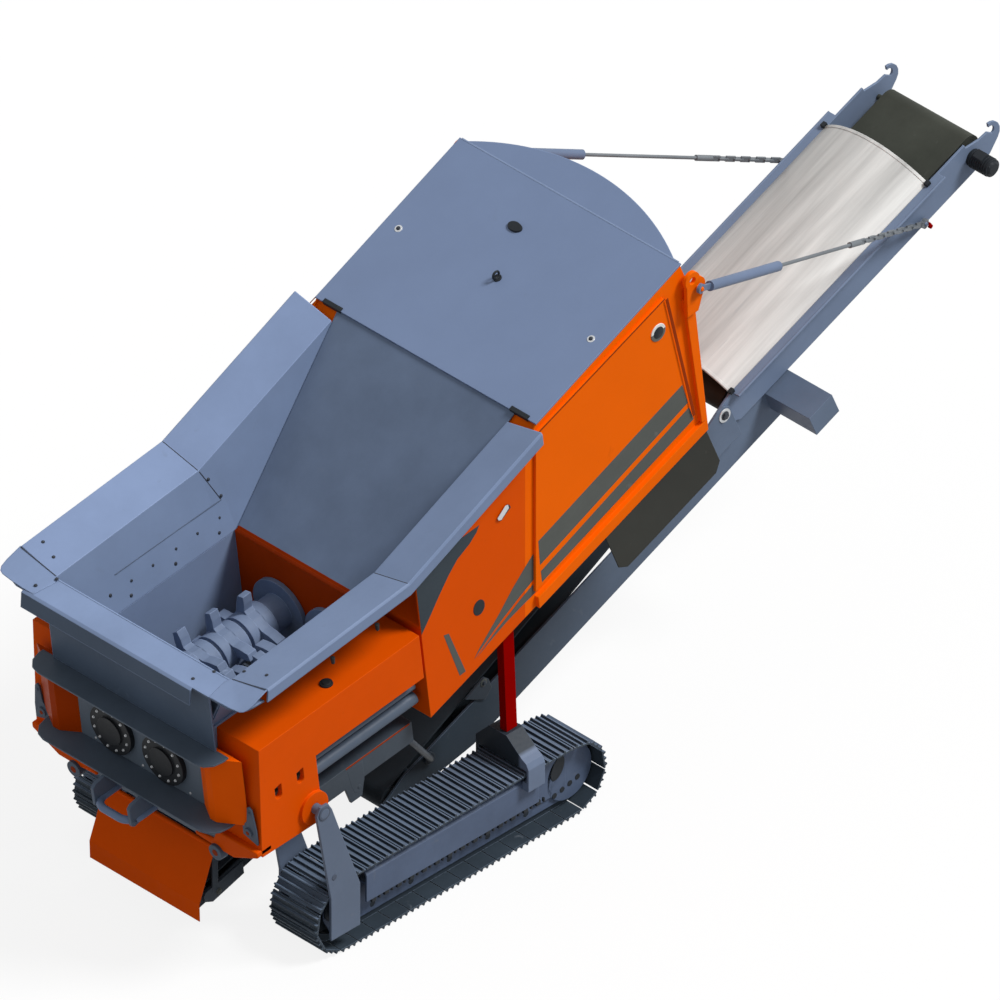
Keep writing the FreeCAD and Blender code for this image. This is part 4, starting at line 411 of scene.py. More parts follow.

# Chassis and long pipes: dark rails and tubes under the crushing box, with a hook tab
# welded to each rail and a thin strip of darker orange, painted shade, where the box's paint meets it.

rail_grey = paint("chassis paint", (0.048, 0.062, 0.080), (0.12, 0.13, 0.15), dust=0.35)
pipe_grey = paint("pipe paint", (0.088, 0.116, 0.160), (0.13, 0.15, 0.18), dust=0.3)
# A darker copy of the orange used as painted shade: the rail edges, the eye bores and the door gaps.
shaded_edge_orange = paint("shaded orange edge", (0.30, 0.035, 0.002), (0.2, 0.04, 0.01), shine=0.04)
coat_with(rail_grey, "chassis")
coat_with(pipe_grey, "long_pipes")
rail_face = 0.8705
tabs = bmesh.new()
lines = bmesh.new()
for side in (1, -1):
    cut_plate(tabs, DECK, [(0.46, -0.10), (0.60, -0.10), (0.60, -0.25), (0.582, -0.305), (0.539, -0.335),
                           (0.500, -0.305), (0.478, -0.22)],
              side * 0.852, side * rail_face)
    turned(tabs, facing(DECK, (0.548, side * rail_face, -0.285), (0, side, 0)),
           [(0.014, 0.014, 0, 0.003)], 18)
    strip(lines, DECK, (0.45, side * (rail_face + 0.0007), -0.076),
          (1.03, side * (rail_face + 0.0007), -0.076), (0, side, 0), 0.012, 0.002)
finished("rail_hook_tabs", tabs, rail_grey, "machine", "black", 0.002)
finished("rail_orange_edges", lines, shaded_edge_orange, "machine", "orange")

# Crushing box: thick plate, dark outside and blue-grey inside, with rows of wear plate
# bolts. Its rear edge is lined in orange over the foot of the slope.

cast = paint("worn cast steel", (0.185, 0.240, 0.360), (0.30, 0.37, 0.53), gloss=0.5, rub=0.10, dust=0.5,
             shine=0.12, edge=0.008, wear=0.9)
box_grey = paint("crushing box paint", (0.125, 0.160, 0.205), (0.16, 0.20, 0.28), dust=0.16, rub=0.03,
                 second=((0.99255, 0.0, 0.12187), -3.3212, -3.3210, (0.205, 0.272, 0.420)))
orange = paint("orange paint", (0.78, 0.088, 0.0), (0.55, 0.07, 0.004), rub=0.03, dust=0.10, shine=0.04)
dark_bolt = paint("blackened bolts", (0.030, 0.036, 0.048), (0.12, 0.13, 0.14), gloss=0.4, shine=0.3,
                  scale=4)
coat_with(box_grey, "crusher_box")
coat_with(cast, "rotor_left", "rotor_right")
liner_orange = paint("shaded liner paint", (0.46, 0.044, 0.0), (0.3, 0.05, 0.01), rub=0.04, dust=0.3,
                     shine=0.03, level_dust_light_and_shade=(0.5, (0.130, 0.012, 0.0)))
liner = bmesh.new()
slab(liner, DECK, (1.0285, -0.615, 0.10), (1.0315, 0.615, 0.742))
slab(liner, DECK, (1.0285, -0.617, 0.742), (1.0535, 0.617, 0.7628))
slope_rise, slope_run = 0.9297, 1.222
slope_turn = Matrix.Rotation(-math.atan2(slope_rise, slope_run), 4, "Y")
SLOPE = DECK @ Matrix.Translation((1.052, 0, 0.760)) @ slope_turn
slab(liner, SLOPE, (0.0, -0.617, 0.0006), (0.024, 0.617, 0.003))
finished("rear_wear_plate", liner, liner_orange, "machine", "orange", 0.0005)
box_top, box_half, wall_lean = 0.75, 0.622, 0.4045
box_bolts = bmesh.new()
for side in (1, -1):
    for x, z in ((-0.285, 0.80), (0.119, 0.80), (0.523, 0.80), (0.919, 0.80), (-0.028, 0.88), (0.162, 0.88),
                 (0.357, 0.88), (0.567, 0.88), (0.762, 0.88), (0.962, 0.88)):
        wall = side * (box_half + wall_lean * (z - box_top))
        bolt(box_bolts, facing(DECK, (x, wall, z), (0, -side * 0.44, 0.178)), 0.011, 0.006)
finished("wear_plate_bolts", box_bolts, dark_bolt, "machine", "stainless")

# Front end: two bent shelves and the bearing covers with their rings of bright bolts on
# the dark wall, the bent orange corner posts, and the flap of two leaves.

# The shelves' level tops take a darker colour still: painted shade under the hopper's flange.
shelf_grey = paint("dark shelf paint", (0.092, 0.122, 0.162), (0.12, 0.14, 0.17), dust=0.3,
                   level_dust_light_and_shade=(0.5, (0.082, 0.110, 0.150)))
cover_black = paint("black bearing cover", (0.012, 0.014, 0.017), (0.06, 0.065, 0.07), gloss=0.42,
                    shine=0.2)
coat_with(shelf_grey, "front_shelves")
coat_with(cover_black, "bearing_covers")
# The corner posts are a dark shaded orange on the far side and full orange on the near side: painted shade
# and painted light on one paint.
corner_orange_lit_and_shaded = paint("corner post paint", (0.40, 0.042, 0.0), (0.5, 0.06, 0.004), rub=0.03, dust=0.15,
                      shine=0.04, second=((0.0, -1.0, 0.0), -0.1, 0.1, (1.0, 0.120, 0.0)))
coat_with(orange, "front_flap")
coat_with(corner_orange_lit_and_shaded, "front_corners")
zinc = paint("zinc plated bolts", (0.62, 0.64, 0.66), (0.40, 0.41, 0.42), gloss=0.30, metal=0.5, shine=0.5,
             scale=4, edge=0.001, wear=0.3)
shaft_y, shaft_z, bolt_circle, ring_bolts = 0.237, 0.315, 0.152, 12
cover_face, front_face = -0.5363, -0.5003
cover_bolts = bmesh.new()
for side in (1, -1):
    for k in range(ring_bolts):
        turn = math.tau * (k + 0.5) / ring_bolts
        spot = (cover_face, side * shaft_y + bolt_circle * math.cos(turn),
                shaft_z + bolt_circle * math.sin(turn))
        bolt(cover_bolts, facing(DECK, spot, (-1, 0, 0)), 0.0080, 0.010)
for y, z in ((-0.002, 0.592), (0.429, 0.126), (-0.002, 0.126), (-0.434, 0.126), (0.455, 0.560)):
    bolt(cover_bolts, facing(DECK, (front_face, y, z), (-1, 0, 0)), 0.0075, 0.006)
finished("cover_bolts", cover_bolts, zinc, "machine", "stainless")

# Toes of the side boxes: an orange bent plate under each lower front corner, with a grey
# lashing eye at its inner end and a grey eye plate standing on it.

FRONT = DECK @ Matrix.Rotation(math.radians(90), 4, "Z")
eye_grey = paint("lashing eye paint", (0.070, 0.095, 0.135), (0.15, 0.17, 0.2), dust=0.3)
toes = bmesh.new()
eyes = bmesh.new()
bores = bmesh.new()
for side in (1, -1):
    toe = [(side * y, z) for y, z in ((1.03, -0.055), (0.66, -0.055), (0.62, -0.150), (0.45, -0.170),
                                      (0.45, -0.198), (0.70, -0.214), (0.80, -0.214), (1.03, -0.10))]
    cut_plate(toes, FRONT, toe, 0.38, 0.516)
    plate = [(side * y, z) for y, z in ((0.885, 0.020), (1.012, -0.020), (1.010, 0.10), (0.988, 0.262),
                                        (0.968, 0.284), (0.948, 0.272), (0.932, 0.150), (0.888, 0.090))]
    cut_plate(eyes, FRONT, plate, 0.4705, 0.486)
    turned(eyes, facing(DECK, (-0.486, side * 0.942, 0.060), (-1, 0, 0)), [(0.036, 0.034, 0, 0.012)], 28)
    turned(eyes, facing(DECK, (-0.478, side * 0.648, -0.238), (-1, 0, 0)), [(0.062, 0.058, 0, 0.060)], 32)
    turned(eyes, facing(DECK, (-0.486, side * 0.966, 0.235), (-1, 0, 0)), [(0.010, 0.009, 0, 0.006)], 12)
    # Darker orange discs on the eyes stand for their bores: painted shade.
    turned(bores, facing(DECK, (-0.4982, side * 0.942, 0.060), (-1, 0, 0)), [(0.015, 0.015, 0, 0.001)], 20)
    turned(bores, facing(DECK, (-0.5382, side * 0.648, -0.238), (-1, 0, 0)), [(0.024, 0.024, 0, 0.001)], 24)
finished("side_box_toes", toes, orange, "machine", "orange", 0.010)
finished("lashing_eyes", eyes, eye_grey, "machine", "steel_blue", 0.004)
finished("lashing_eye_bores", bores, shaded_edge_orange, "machine", "orange")

# Towing bail: a bent bar held between two wide cheek plates with rounded corners, welded
# to the underside of the lower shelf.

bail_grey = paint("towing bail paint", (0.170, 0.235, 0.375), (0.2, 0.23, 0.28), dust=0.15)
cheek_grey = paint("bail cheek paint", (0.100, 0.136, 0.195), (0.15, 0.17, 0.2), dust=0.3)
coat_with(bail_grey, "towing_bail")
cheek_y, cheek_half = 0.165, 0.013
cheeks = bmesh.new()
for side in (1, -1):
    cut_plate(cheeks, DECK, [(-0.812, 0.048), (-0.786, 0.072), (-0.66, 0.092), (-0.520, 0.092),
                             (-0.520, -0.030), (-0.598, -0.078), (-0.782, -0.110), (-0.806, -0.094)],
              side * cheek_y - cheek_half, side * cheek_y + cheek_half)
    bolt(cheeks, facing(DECK, (-0.780, side * (cheek_y + cheek_half), -0.075), (0, side, 0)), 0.016, 0.014)
finished("bail_cheeks", cheeks, cheek_grey, "machine", "steel_blue", 0.010)

# Side boxes: folded orange sheet over the gearboxes. The two pockets are dark inside,
# and a round rubber socket sits in the top.

coat_with(orange, "side_box_left", "side_box_right")
dark_hole = paint("black rubber", (0.016, 0.017, 0.018), (0.05, 0.05, 0.05), gloss=0.6, shine=0.2)
pocket_grey = paint("pocket back wall", (0.060, 0.076, 0.068), (0.08, 0.09, 0.09), gloss=0.6, dust=0.4)
pocket_back, pocket_skin, pocket_half = 0.9902, 0.0033, 0.0307
sockets = bmesh.new()
pockets = bmesh.new()
for side in (1, -1):
    place = facing(DECK, (0.347, side * 0.898, 0.735), (0, 0, 1))
    turned(sockets, place, [(0.046, 0.043, -0.001, 0.012), (0.030, 0.028, 0.010, 0.018)], 28)
    back, skin = side * pocket_back, side * (pocket_back + pocket_skin)
    for x in (-0.273, -0.074):
        slab(pockets, DECK, (x - pocket_half, back, 0.285), (x + pocket_half, skin, 0.350))
        turned(pockets, facing(DECK, (x, back, 0.284), (0, side, 0)),
               [(pocket_half, pocket_half, 0, pocket_skin)], 24)
finished("top_sockets", sockets, dark_hole, "machine", "black", 0.002)
finished("pocket_backs", pockets, pocket_grey, "machine", "black")

# Hopper: pressed sheets bolted together at the corners, with a folded seam at the knee of
# each wing and rubber buffers on short arms under the lips.

blue_grey = paint("blue grey paint", (0.186, 0.250, 0.395), (0.16, 0.20, 0.28), dust=0.16, rub=0.03,
                  shine=0.16, edge=0.010, wear=0.8)
# The slope is a darker copy of the blue-grey: painted shade.
shaded_slope_grey = paint("slope paint", (0.140, 0.188, 0.285), (0.16, 0.20, 0.28), dust=0.3, rub=0.03, shine=0.12,
                   edge=0.010)
# The front lip and the corner plates are dark on their front faces and light on their level tops: painted
# shade and painted light on one paint.
lip_grey_lit_and_shaded = paint("front lip paint", (0.086, 0.121, 0.178), (0.16, 0.20, 0.28), dust=0.2, shine=0.12,
                 edge=0.010, level_dust_light_and_shade=(0.5, (0.225, 0.300, 0.475)))
# The far wing takes a lighter copy of the blue-grey, lighter still on level tops: painted sunlight.
far_grey = paint("sunlit wing paint", (0.180, 0.242, 0.380), (0.16, 0.20, 0.28), dust=0.16, rub=0.03,
                 shine=0.16, edge=0.010, wear=0.8, level_dust_light_and_shade=(0.5, (0.228, 0.303, 0.485)))
coat_with(blue_grey, "hopper_right")
coat_with(far_grey, "hopper_left")
coat_with(lip_grey_lit_and_shaded, "hopper_front")
coat_with(shaded_slope_grey, "hopper_slope")


def wing_top(x, y):
    """Height of a wing's upper face between its front end and its knee."""
    return 1.190 + 0.034 * (x + 0.357) / 1.303 + 0.080 * (abs(y) - 0.80) / 0.318


hopper_bolts = bmesh.new()
for x, y, z in ((-0.50, -0.592, 1.1777), (-0.365, -0.649, 1.1777), (-0.498, 0.843, 1.188),
                (-0.37, 0.779, 1.192)):
    bolt(hopper_bolts, facing(DECK, (x, y, z), (0, 0, 1)), 0.010, 0.008)
for x, y in ((-0.256, -0.815), (-0.226, -0.995), (-0.254, 0.921), (-0.217, 1.05)):
    bolt(hopper_bolts, facing(DECK, (x, y, wing_top(x, y)), (0, -math.copysign(0.25, y), 1)), 0.010, 0.008)
for side in (1, -1):
    for x, y, z in ((1.03, 0.7105, 1.00), (0.985, 0.7645, 1.14)):
        bolt(hopper_bolts, facing(DECK, (x, side * y, z), (-0.08, -side * 0.94, 0.34)), 0.010, 0.006)
finished("hopper_bolts", hopper_bolts, dark_bolt, "machine", "stainless")
seams = bmesh.new()
for side in (1, -1):
    for x in (0.940, -0.352):
        strip(seams, DECK, (x, side * 0.802, wing_top(x, 0.802) + 0.0004),
              (x, side * 1.116, wing_top(x, 1.116) + 0.0004), (0, -side * 0.25, 1), 0.006, 0.0012)
    strip(seams, DECK, (0.945, side * 0.7955, 1.214), (1.020, side * 0.7030, 0.980),
          (-0.08, -side * 0.94, 0.34), 0.006, 0.0020)
finished("hopper_seams", seams, dark_bolt, "machine", "black")
# A thin darker strip along each wall's horizontal crease: painted shade of the bend.
crease_shade_grey = paint("crease paint", (0.100, 0.135, 0.205), (0.16, 0.20, 0.28), dust=0.2)
crease = bmesh.new()
for side in (1, -1):
    strip(crease, DECK, (0.06, side * 0.7098, 0.977), (0.60, side * 0.7090, 0.977),
          (0, -side * 0.94, 0.35), 0.007, 0.003)
    strip(crease, DECK, (0.60, side * 0.7090, 0.977), (1.020, side * 0.7028, 0.978),
          (0, -side * 0.94, 0.35), 0.007, 0.003)
finished("wall_creases", crease, crease_shade_grey, "machine", "steel_blue")
buffers = bmesh.new()
for side in (1, -1):
    for x, z in ((0.641, 1.128), (0.236, 1.118)):
        turned(buffers, facing(DECK, (x, side * 1.118, z), (0, 0, 1)), [(0.012, 0.016, -0.016, 0.034)], 20)
finished("lip_buffers", buffers, dark_hole, "machine", "black", 0.003)

# Corner plates: folded sheets that close the front corners between the wings and the
# flange, creased from the inner corner to a rounded tip.

for side, hand in ((1, "left"), (-1, "right")):
    plate = bmesh.new()
    inner = plate.verts.new(DECK @ Vector((-0.346, side * 0.800, 1.1905)))
    rim = [plate.verts.new(DECK @ Vector((x, side * y, z)))
           for x, y, z in ((-0.346, 1.126, 1.2705), (-0.470, 1.129, 1.239), (-0.528, 1.124, 1.222),
                           (-0.554, 1.108, 1.211), (-0.564, 1.080, 1.202), (-0.566, 1.000, 1.191),
                           (-0.566, 0.900, 1.184), (-0.563, 0.800, 1.1795), (-0.450, 0.780, 1.1795),
                           (-0.390, 0.770, 1.1795))]
    for first, last in zip(rim, rim[1:]):
        plate.faces.new((inner, first, last))
    bmesh.ops.recalc_face_normals(plate, faces=plate.faces)
    bmesh.ops.solidify(plate, geom=plate.faces[:], thickness=0.0025)
    finished("corner_plate_" + hand, plate, lip_grey_lit_and_shaded, "machine", "steel_blue", 0.001)

# Hood: one thick sheet over the housing with a bent visor at the rear. On it an eye bolt,
# an oval cap, washered bolts, rubber strips on the front edge and a lighter strip along the fold,
# a painted highlight of the bend.

HOOD = DECK @ Matrix.Translation((2.274, 0, 1.690)) @ Matrix.Rotation(math.radians(-17.6), 4, "Y")
hood_grey = paint("hood blue grey paint", (0.185, 0.247, 0.395), (0.16, 0.20, 0.28), dust=0.08, rub=0.015,
                  shine=0.16, edge=0.008, wear=0.7)
coat_with(hood_grey, "hood")
hood_top, hood_length, eye_x, eye_y = 0.014, 1.450, 0.737, 0.012
hood_irons = bmesh.new()
turned(hood_irons, HOOD @ Matrix.Translation((eye_x, eye_y, hood_top)), [(0.030, 0.028, 0, 0.008)], 28)
eye_place = HOOD @ Matrix.Translation((eye_x, eye_y, 0.048)) @ Matrix.Rotation(math.radians(90), 4, "X")
ring = bmesh.ops.create_circle(hood_irons, cap_ends=False, segments=14, radius=0.008,
                               matrix=eye_place @ Matrix.Translation((0.026, 0, 0))
                               @ Matrix.Rotation(math.radians(90), 4, "X"))
swept(hood_irons, ring["verts"], eye_place.translation, eye_place.to_3x3() @ Vector((0, 0, 1)),
      math.tau, 28, closed=True)
turned(hood_irons, HOOD @ Matrix.Translation((1.101, 0.183, hood_top)) @ Matrix.Diagonal((0.62, 1.0, 1, 1)),
       [(0.060, 0.055, 0, 0.014)], 32)
for side in (1, -1):
    slab(hood_irons, HOOD, (-0.006, side * 0.77, -0.010), (0.026, side * 0.93, 0.024))
finished("hood_irons", hood_irons, black_iron, "machine", "black", 0.001)
washers = bmesh.new()
hood_bolts = bmesh.new()
for y in (-0.875, 0.875):
    turned(washers, HOOD @ Matrix.Translation((0.694, y, hood_top)), [(0.028, 0.026, 0, 0.003)], 28)
    bolt(hood_bolts, HOOD @ Matrix.Translation((0.694, y, hood_top + 0.003)), 0.012, 0.011)
finished("hood_washers", washers, zinc, "machine", "stainless")
finished("hood_bolts", hood_bolts, dark_bolt, "machine", "stainless")
painted_fold_highlight = paint("fold line paint", (0.225, 0.295, 0.450), (0.2, 0.24, 0.3), dust=0.1)
fold_line = bmesh.new()
strip(fold_line, HOOD, (hood_length, -0.985, hood_top + 0.0004), (hood_length, 0.985, hood_top + 0.0004),
      (0, 0, 1), 0.012, 0.0012)
finished("hood_fold_highlight", fold_line, painted_fold_highlight, "machine", "steel_blue")

# Engine housing: orange side panels with a proud frame round a door that is hinged at its
# front edge, a dark plate over the front corner of each panel for painted shade, and lifting lugs
# at the rear. The door, and the panel behind a line near the door's front edge, are a lighter copy
# of the orange: painted light where those sheets face the sun. Plain grey bands cross panel and door.

housing_orange = paint("housing orange paint", (0.78, 0.088, 0.0), (0.55, 0.07, 0.004), rub=0.02, dust=0.06,
                       shine=0.04, second=((1.0, 0.0, 0.0), -1.0515, -1.0505, (0.97, 0.145, 0.0)))
lit_door_orange = paint("door orange paint", (0.97, 0.145, 0.0), (0.6, 0.08, 0.004), rub=0.02, dust=0.05,
                    shine=0.04)
band_grey = paint("grey green band paint", (0.094, 0.102, 0.094), (0.2, 0.2, 0.2), gloss=0.5, dust=0.25)
corner_shade_grey = paint("gusset paint", (0.028, 0.042, 0.055), (0.1, 0.12, 0.14), dust=0.3)
coat_with(housing_orange, "engine_housing", "lifting_lugs")
coat_with(lit_door_orange, "engine_door_left", "engine_door_right")
panel_face, frame_face, door_face = 1.0003, 1.0346, 1.0222
for side, hand in ((1, "left"), (-1, "right")):
    face, panel, frame_side, skin = side * door_face, side * panel_face, side * frame_face, side * 0.0006
    door_bands = bmesh.new()
    cut_plate(door_bands, DECK, [(3.535, 1.207), (3.566, 1.036), (2.156, 0.598), (2.164, 0.794)],
              face, face + skin)
    cut_plate(door_bands, DECK, [(3.572, 0.994), (3.600, 0.876), (2.157, 0.453), (2.157, 0.546)],
              face, face + skin)
    finished("door_bands_" + hand, door_bands, band_grey, "door_" + hand, "black")
    panel_bands = bmesh.new()
    cut_plate(panel_bands, DECK, [(2.128, 0.700), (2.047, 0.642), (1.918, 0.544), (1.786, 0.426),
                                  (1.682, 0.343), (1.579, 0.261), (1.525, 0.205), (1.576, 0.238),
                                  (1.727, 0.323), (1.826, 0.372), (1.976, 0.442), (2.128, 0.506)],
              panel, panel + skin)
    cut_plate(panel_bands, DECK, [(2.130, 0.474), (1.985, 0.420), (1.861, 0.362), (1.750, 0.314),
                                  (1.650, 0.261), (1.548, 0.205), (1.623, 0.236), (1.721, 0.275),
                                  (1.832, 0.316), (1.965, 0.351), (2.130, 0.390)],
              panel, panel + skin)
    cut_plate(panel_bands, DECK, [(1.293, 0.566), (1.338, 0.552), (1.445, 0.163), (1.390, 0.160)],
              panel, panel + skin)
    finished("panel_bands_" + hand, panel_bands, band_grey, "machine", "black")
    latch = bmesh.new()
    place = facing(DECK, (3.377, side * 1.0221, 1.753), (0, side, 0))
    turned(latch, place, [(0.066, 0.064, 0, 0.006)], 40)
    # The latch is dark grey below and near white above its middle: a painted highlight on its top.
    latch_steel_with_highlight = paint("latch cup " + hand, (0.090, 0.100, 0.090), (0.3, 0.3, 0.3), gloss=0.35, shine=0.3,
                        second=((-0.12187, 0.0, 0.99255), 3.326, 3.330, (0.80, 0.81, 0.80)))
    finished("door_latch_" + hand, latch, latch_steel_with_highlight, "door_" + hand, "stainless", 0.002)
    cup = bmesh.new()
    turned(cup, place, [(0.044, 0.040, 0.006, 0.008)], 36)
    finished("latch_cup_" + hand, cup, black_iron, "door_" + hand, "black")
    # A thin black disc on the panel stands for a round hole: painted shade. The other black piece is the
    # lamp's dark rim.
    hole = bmesh.new()
    turned(hole, facing(DECK, (1.618, panel, 0.586), (0, side, 0)) @ Matrix.Diagonal((0.86, 1, 1, 1)),
           [(0.060, 0.060, 0, 0.002)], 36)
    cut_plate(hole, DECK, [(1.868, 1.168), (1.881, 1.148), (1.975, 1.199), (1.968, 1.224), (1.949, 1.235),
                           (1.872, 1.190)],
              panel, side * 1.0103)
    finished("panel_ports_" + hand, hole, black_iron, "machine", "black", 0.001)
    lamp = bmesh.new()
    cut_plate(lamp, DECK, [(1.850, 1.190), (1.858, 1.166), (1.882, 1.157), (1.957, 1.208), (1.952, 1.238),
                           (1.930, 1.245)],
              side * 1.0104, side * 1.0134)
    finished("panel_lamp_" + hand, lamp, zinc, "machine", "stainless", 0.001)
    # A thin dark plate over the panel's front corner: painted shade.
    gusset = bmesh.new()
    cut_plate(gusset, DECK, [(1.108, 0.695), (1.131, 0.720), (1.205, 0.801), (1.294, 0.904), (1.395, 1.010),
                             (1.480, 1.083), (1.598, 1.135), (1.669, 1.186), (1.700, 1.228),
                             (1.108, 1.228)],
              side * 1.0002, side * 1.0012)
    finished("corner_shade_plate_" + hand, gusset, corner_shade_grey, "machine", "black")
    # Darker orange strips on the frame along the door's gaps: painted shade of the gaps.
    gaps = bmesh.new()
    strip(gaps, DECK, (2.1545, frame_side, 1.55), (2.1545, frame_side, 1.50), (0, side, 0), 0.004, 0.0006)
    strip(gaps, PINS, (3.460, frame_side, 1.345), (3.205, frame_side, 2.385), (0, side, 0), 0.024, 0.0008)
    strip(gaps, PINS, (2.030, frame_side, 1.912), (3.188, frame_side, 2.394), (0, side, 0), 0.010, 0.0008)
    finished("door_gaps_" + hand, gaps, shaded_edge_orange, "machine", "orange")
coat_with(paint("black skirt sheet", (0.030, 0.031, 0.027), (0.07, 0.07, 0.06), gloss=0.5, dust=0.3),
          "side_skirts")

# Lower conveyor: folded side plates from the tail between the tracks up to the fold, painted
# dark low down under the housing and lighter towards the drive: painted shade. A bracket and a
# feed arm hang on each side, with washered bolts.

TAIL = Matrix.Translation((1.285, 0, 1.870)) @ Matrix.Rotation(math.radians(-23.2), 4, "Y")
shaded_low_grey = paint("lower conveyor paint", (0.042, 0.060, 0.082), (0.14, 0.17, 0.2), dust=0.25,
                 second=((1.0, 0.0, 0.0), -0.9, 1.3, (0.130, 0.175, 0.255)))
belt_rubber = paint("conveyor belt rubber", (0.050, 0.054, 0.044), (0.09, 0.09, 0.08), gloss=0.6, dust=0.5,
                    shine=0.15, rub=0.05)
coat_with(shaded_low_grey, "conveyor_lower")
shaded_belt = paint("shaded belt rubber", (0.030, 0.040, 0.050), (0.07, 0.08, 0.09), gloss=0.6, dust=0.4,
                    shine=0.1)
coat_with(belt_rubber, "belt_upper")
coat_with(shaded_belt, "belt_lower", "feed_belt")
brackets = bmesh.new()
bracket_washers = bmesh.new()
for side in (1, -1):
    cut_plate(brackets, TAIL, [(-2.57, -0.105), (-2.38, -0.085), (-2.355, -0.13), (-2.36, -0.215),
                               (-2.44, -0.255)],
              side * 0.4305, side * 0.4465)
    place = facing(TAIL, (-2.401, side * 0.4465, -0.118), (0, side, 0))
    turned(bracket_washers, place, [(0.030, 0.028, 0, 0.004)], 24)
    bolt(brackets, place @ Matrix.Translation((0, 0, 0.004)), 0.015, 0.012)
    turned(brackets, facing(TAIL, (-0.407, side * 0.488, -0.06), (0, side, 0)),
           [(0.022, 0.018, 0, 0.04)], 20)
    cut_plate(brackets, DECK, [(-0.14, -0.690), (-0.480, -0.728), (-0.505, -0.752), (-0.495, -0.800),
                               (-0.430, -0.838), (-0.14, -0.790)],
              side * 0.430, side * 0.445)
    turned(brackets, facing(DECK, (-0.352, side * 0.360, -0.770), (0, side, 0)),
           [(0.018, 0.018, 0, 0.080)], 18)
    bolt(bracket_washers, facing(DECK, (-0.372, side * 0.445, -0.785), (0, side, 0)), 0.018, 0.014)
finished("lower_brackets", brackets, rail_grey, "machine", "black", 0.002)
finished("bracket_washers", bracket_washers, band_grey, "machine", "stainless")

# Upper conveyor: folded side plates with a rolled top edge, hung on the fold bolts with
# wide light washers. It ends in two hooks and the belt's drive motor.

BOOM = Matrix.Translation((1.285, 0, 1.870)) @ Matrix.Rotation(math.radians(-22.6), 4, "Y")
boom_grey = paint("upper conveyor paint", (0.175, 0.232, 0.345), (0.14, 0.17, 0.22), dust=0.2, wear=0.7)
coat_with(boom_grey, "conveyor_upper")
roll = bmesh.new()
for side in (1, -1):
    turned(roll, facing(BOOM, (0.130, side * 0.526, 0.083), (1, 0, 0)), [(0.010, 0.010, 0, 2.055)], 14)
finished("rolled_edges", roll, boom_grey, "conveyor", "steel_blue")
rings = bmesh.new()
heads = bmesh.new()
for side in (1, -1):
    turned(rings, facing(BOOM, (0, side * 0.4885, 0), (0, side, 0)), [(0.052, 0.050, 0, 0.006)], 32)
    bolt(heads, facing(BOOM, (0, side * 0.4945, 0), (0, side, 0)), 0.026, 0.016)
finished("fold_washers", rings, zinc, "machine", "stainless", 0.001)
finished("fold_bolt_heads", heads, dark_bolt, "machine", "stainless", 0.001)

# Belt cover: one arched stainless sheet with a folded hem at each end, held by small
# black clamps at its feet.

stainless = paint("stainless sheet", (0.60, 0.60, 0.585), (0.34, 0.36, 0.38), gloss=0.40, metal=0.15,
                  dust=0.7, shine=0.3, rub=0.06, edge=0.006, wear=0.3, scale=1.6,
                  drawn=(-22.6, (9.0, 0.5, 0.5)))
coat_with(stainless, "belt_cover")
laps = bmesh.new()
clamps = bmesh.new()
for x in (0.118, 2.068):
    half, rise = 0.462, 0.172
    radius = (half * half + rise * rise) / (2 * rise)
    reach = math.asin(half / radius)
    middle = BOOM @ Matrix.Translation((x, 0, 0.0883 + rise - radius))
    profile = [middle @ Vector(corner) for corner in ((0, 0, radius), (0.022, 0, radius),
                                                      (0.022, 0, radius + 0.003), (0, 0, radius + 0.003))]
    ring = [laps.verts.new(point) for point in profile]
    for k in range(4):
        laps.edges.new((ring[k], ring[(k + 1) % 4]))
    axis = middle.to_3x3() @ Vector((1, 0, 0))
    turn = Matrix.Rotation(-reach, 3, axis)
    bmesh.ops.rotate(laps, verts=ring, cent=middle.translation, matrix=turn)
    swept(laps, ring, middle.translation, axis, 2 * reach, 28)
    for side in (1, -1):
        slab(clamps, BOOM, (x - 0.008, side * 0.455, 0.0885), (x + 0.030, side * 0.486, 0.116))
bmesh.ops.holes_fill(laps, edges=[edge for edge in laps.edges if edge.is_boundary])
finished("cover_laps", laps, stainless, "conveyor", "stainless")
finished("cover_clamps", clamps, black_iron, "conveyor", "black", 0.002)

# Belt motor: a black drum motor with cooling ribs, an end cap and a terminal box.

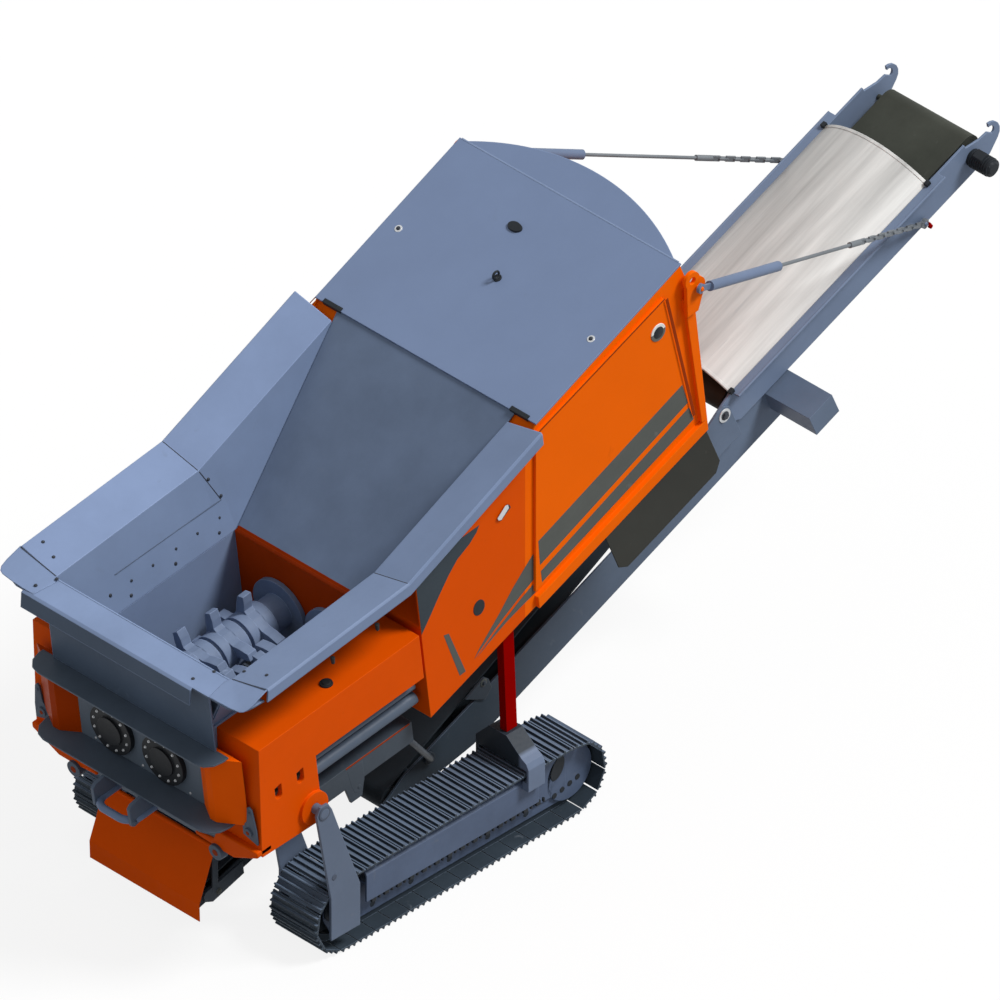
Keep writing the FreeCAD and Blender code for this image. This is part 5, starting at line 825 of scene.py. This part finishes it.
coat_with(black_iron, "belt_motor")
motor_x, motor_z, rib_pitch, cap_circle, cap_turn = 2.467, -0.060, 0.019, 0.045, 1.047
motor = bmesh.new()
place = facing(BOOM, (motor_x, -0.6500, motor_z), (0, 1, 0))
for k in range(8):
    turned(motor, place, [(0.067, 0.067, 0.018 + rib_pitch * k, 0.026 + rib_pitch * k)], 28)
turned(motor, place, [(0.040, 0.056, -0.016, 0.002)], 28)
slab(motor, BOOM, (2.435, -0.610, -0.004), (2.500, -0.530, 0.034))
for k in range(6):
    spot = (motor_x + cap_circle * math.cos(k * cap_turn), -0.652,
            motor_z + cap_circle * math.sin(k * cap_turn))
    bolt(motor, facing(BOOM, spot, (0, -1, 0)), 0.007, 0.008)
finished("motor_ribs", motor, black_iron, "conveyor", "black", 0.001)

# Stays: each ram ends in a rod, a fork, a short chain and a red bow shackle on the upper
# conveyor's pin.

barrel_grey = paint("ram barrel paint", (0.150, 0.200, 0.310), (0.2, 0.22, 0.27), dust=0.2, edge=0.003)
chain_steel = paint("dull chain steel", (0.19, 0.21, 0.23), (0.25, 0.26, 0.27), gloss=0.45, metal=0.3,
                    shine=0.2, dust=0.4, edge=0.002)
coat_with(barrel_grey, "stay_barrel_left", "stay_barrel_right")
coat_with(chain_steel, "stay_chain_left", "stay_chain_right")
for side, hand in ((1, "left"), (-1, "right")):
    lug = DECK @ Vector((3.718, side * 1.0943, 1.935))
    pin = BOOM @ Vector((1.924, side * 0.5, -0.132))
    pull = (lug - pin).normalized()
    across = Vector((0, 1, 0))
    across = (across - pull * across.dot(pull)).normalized()
    bow = bmesh.new()
    start = Matrix.Translation(pin + across * 0.040) @ pull.to_track_quat("Z", "Y").to_matrix().to_4x4()
    ring = bmesh.ops.create_circle(bow, cap_ends=False, segments=12, radius=0.010, matrix=start)
    swept(bow, ring["verts"], pin, across.cross(pull), -math.pi, 20)
    bmesh.ops.holes_fill(bow, edges=[edge for edge in bow.edges if edge.is_boundary])
    turned(bow, facing(ground, pin - across * 0.056, across),
           [(0.015, 0.015, 0, 0.020), (0.015, 0.015, 0.092, 0.112)], 16)
    finished("red_shackle_" + hand, bow, prop_red, "chain_" + hand, "red")
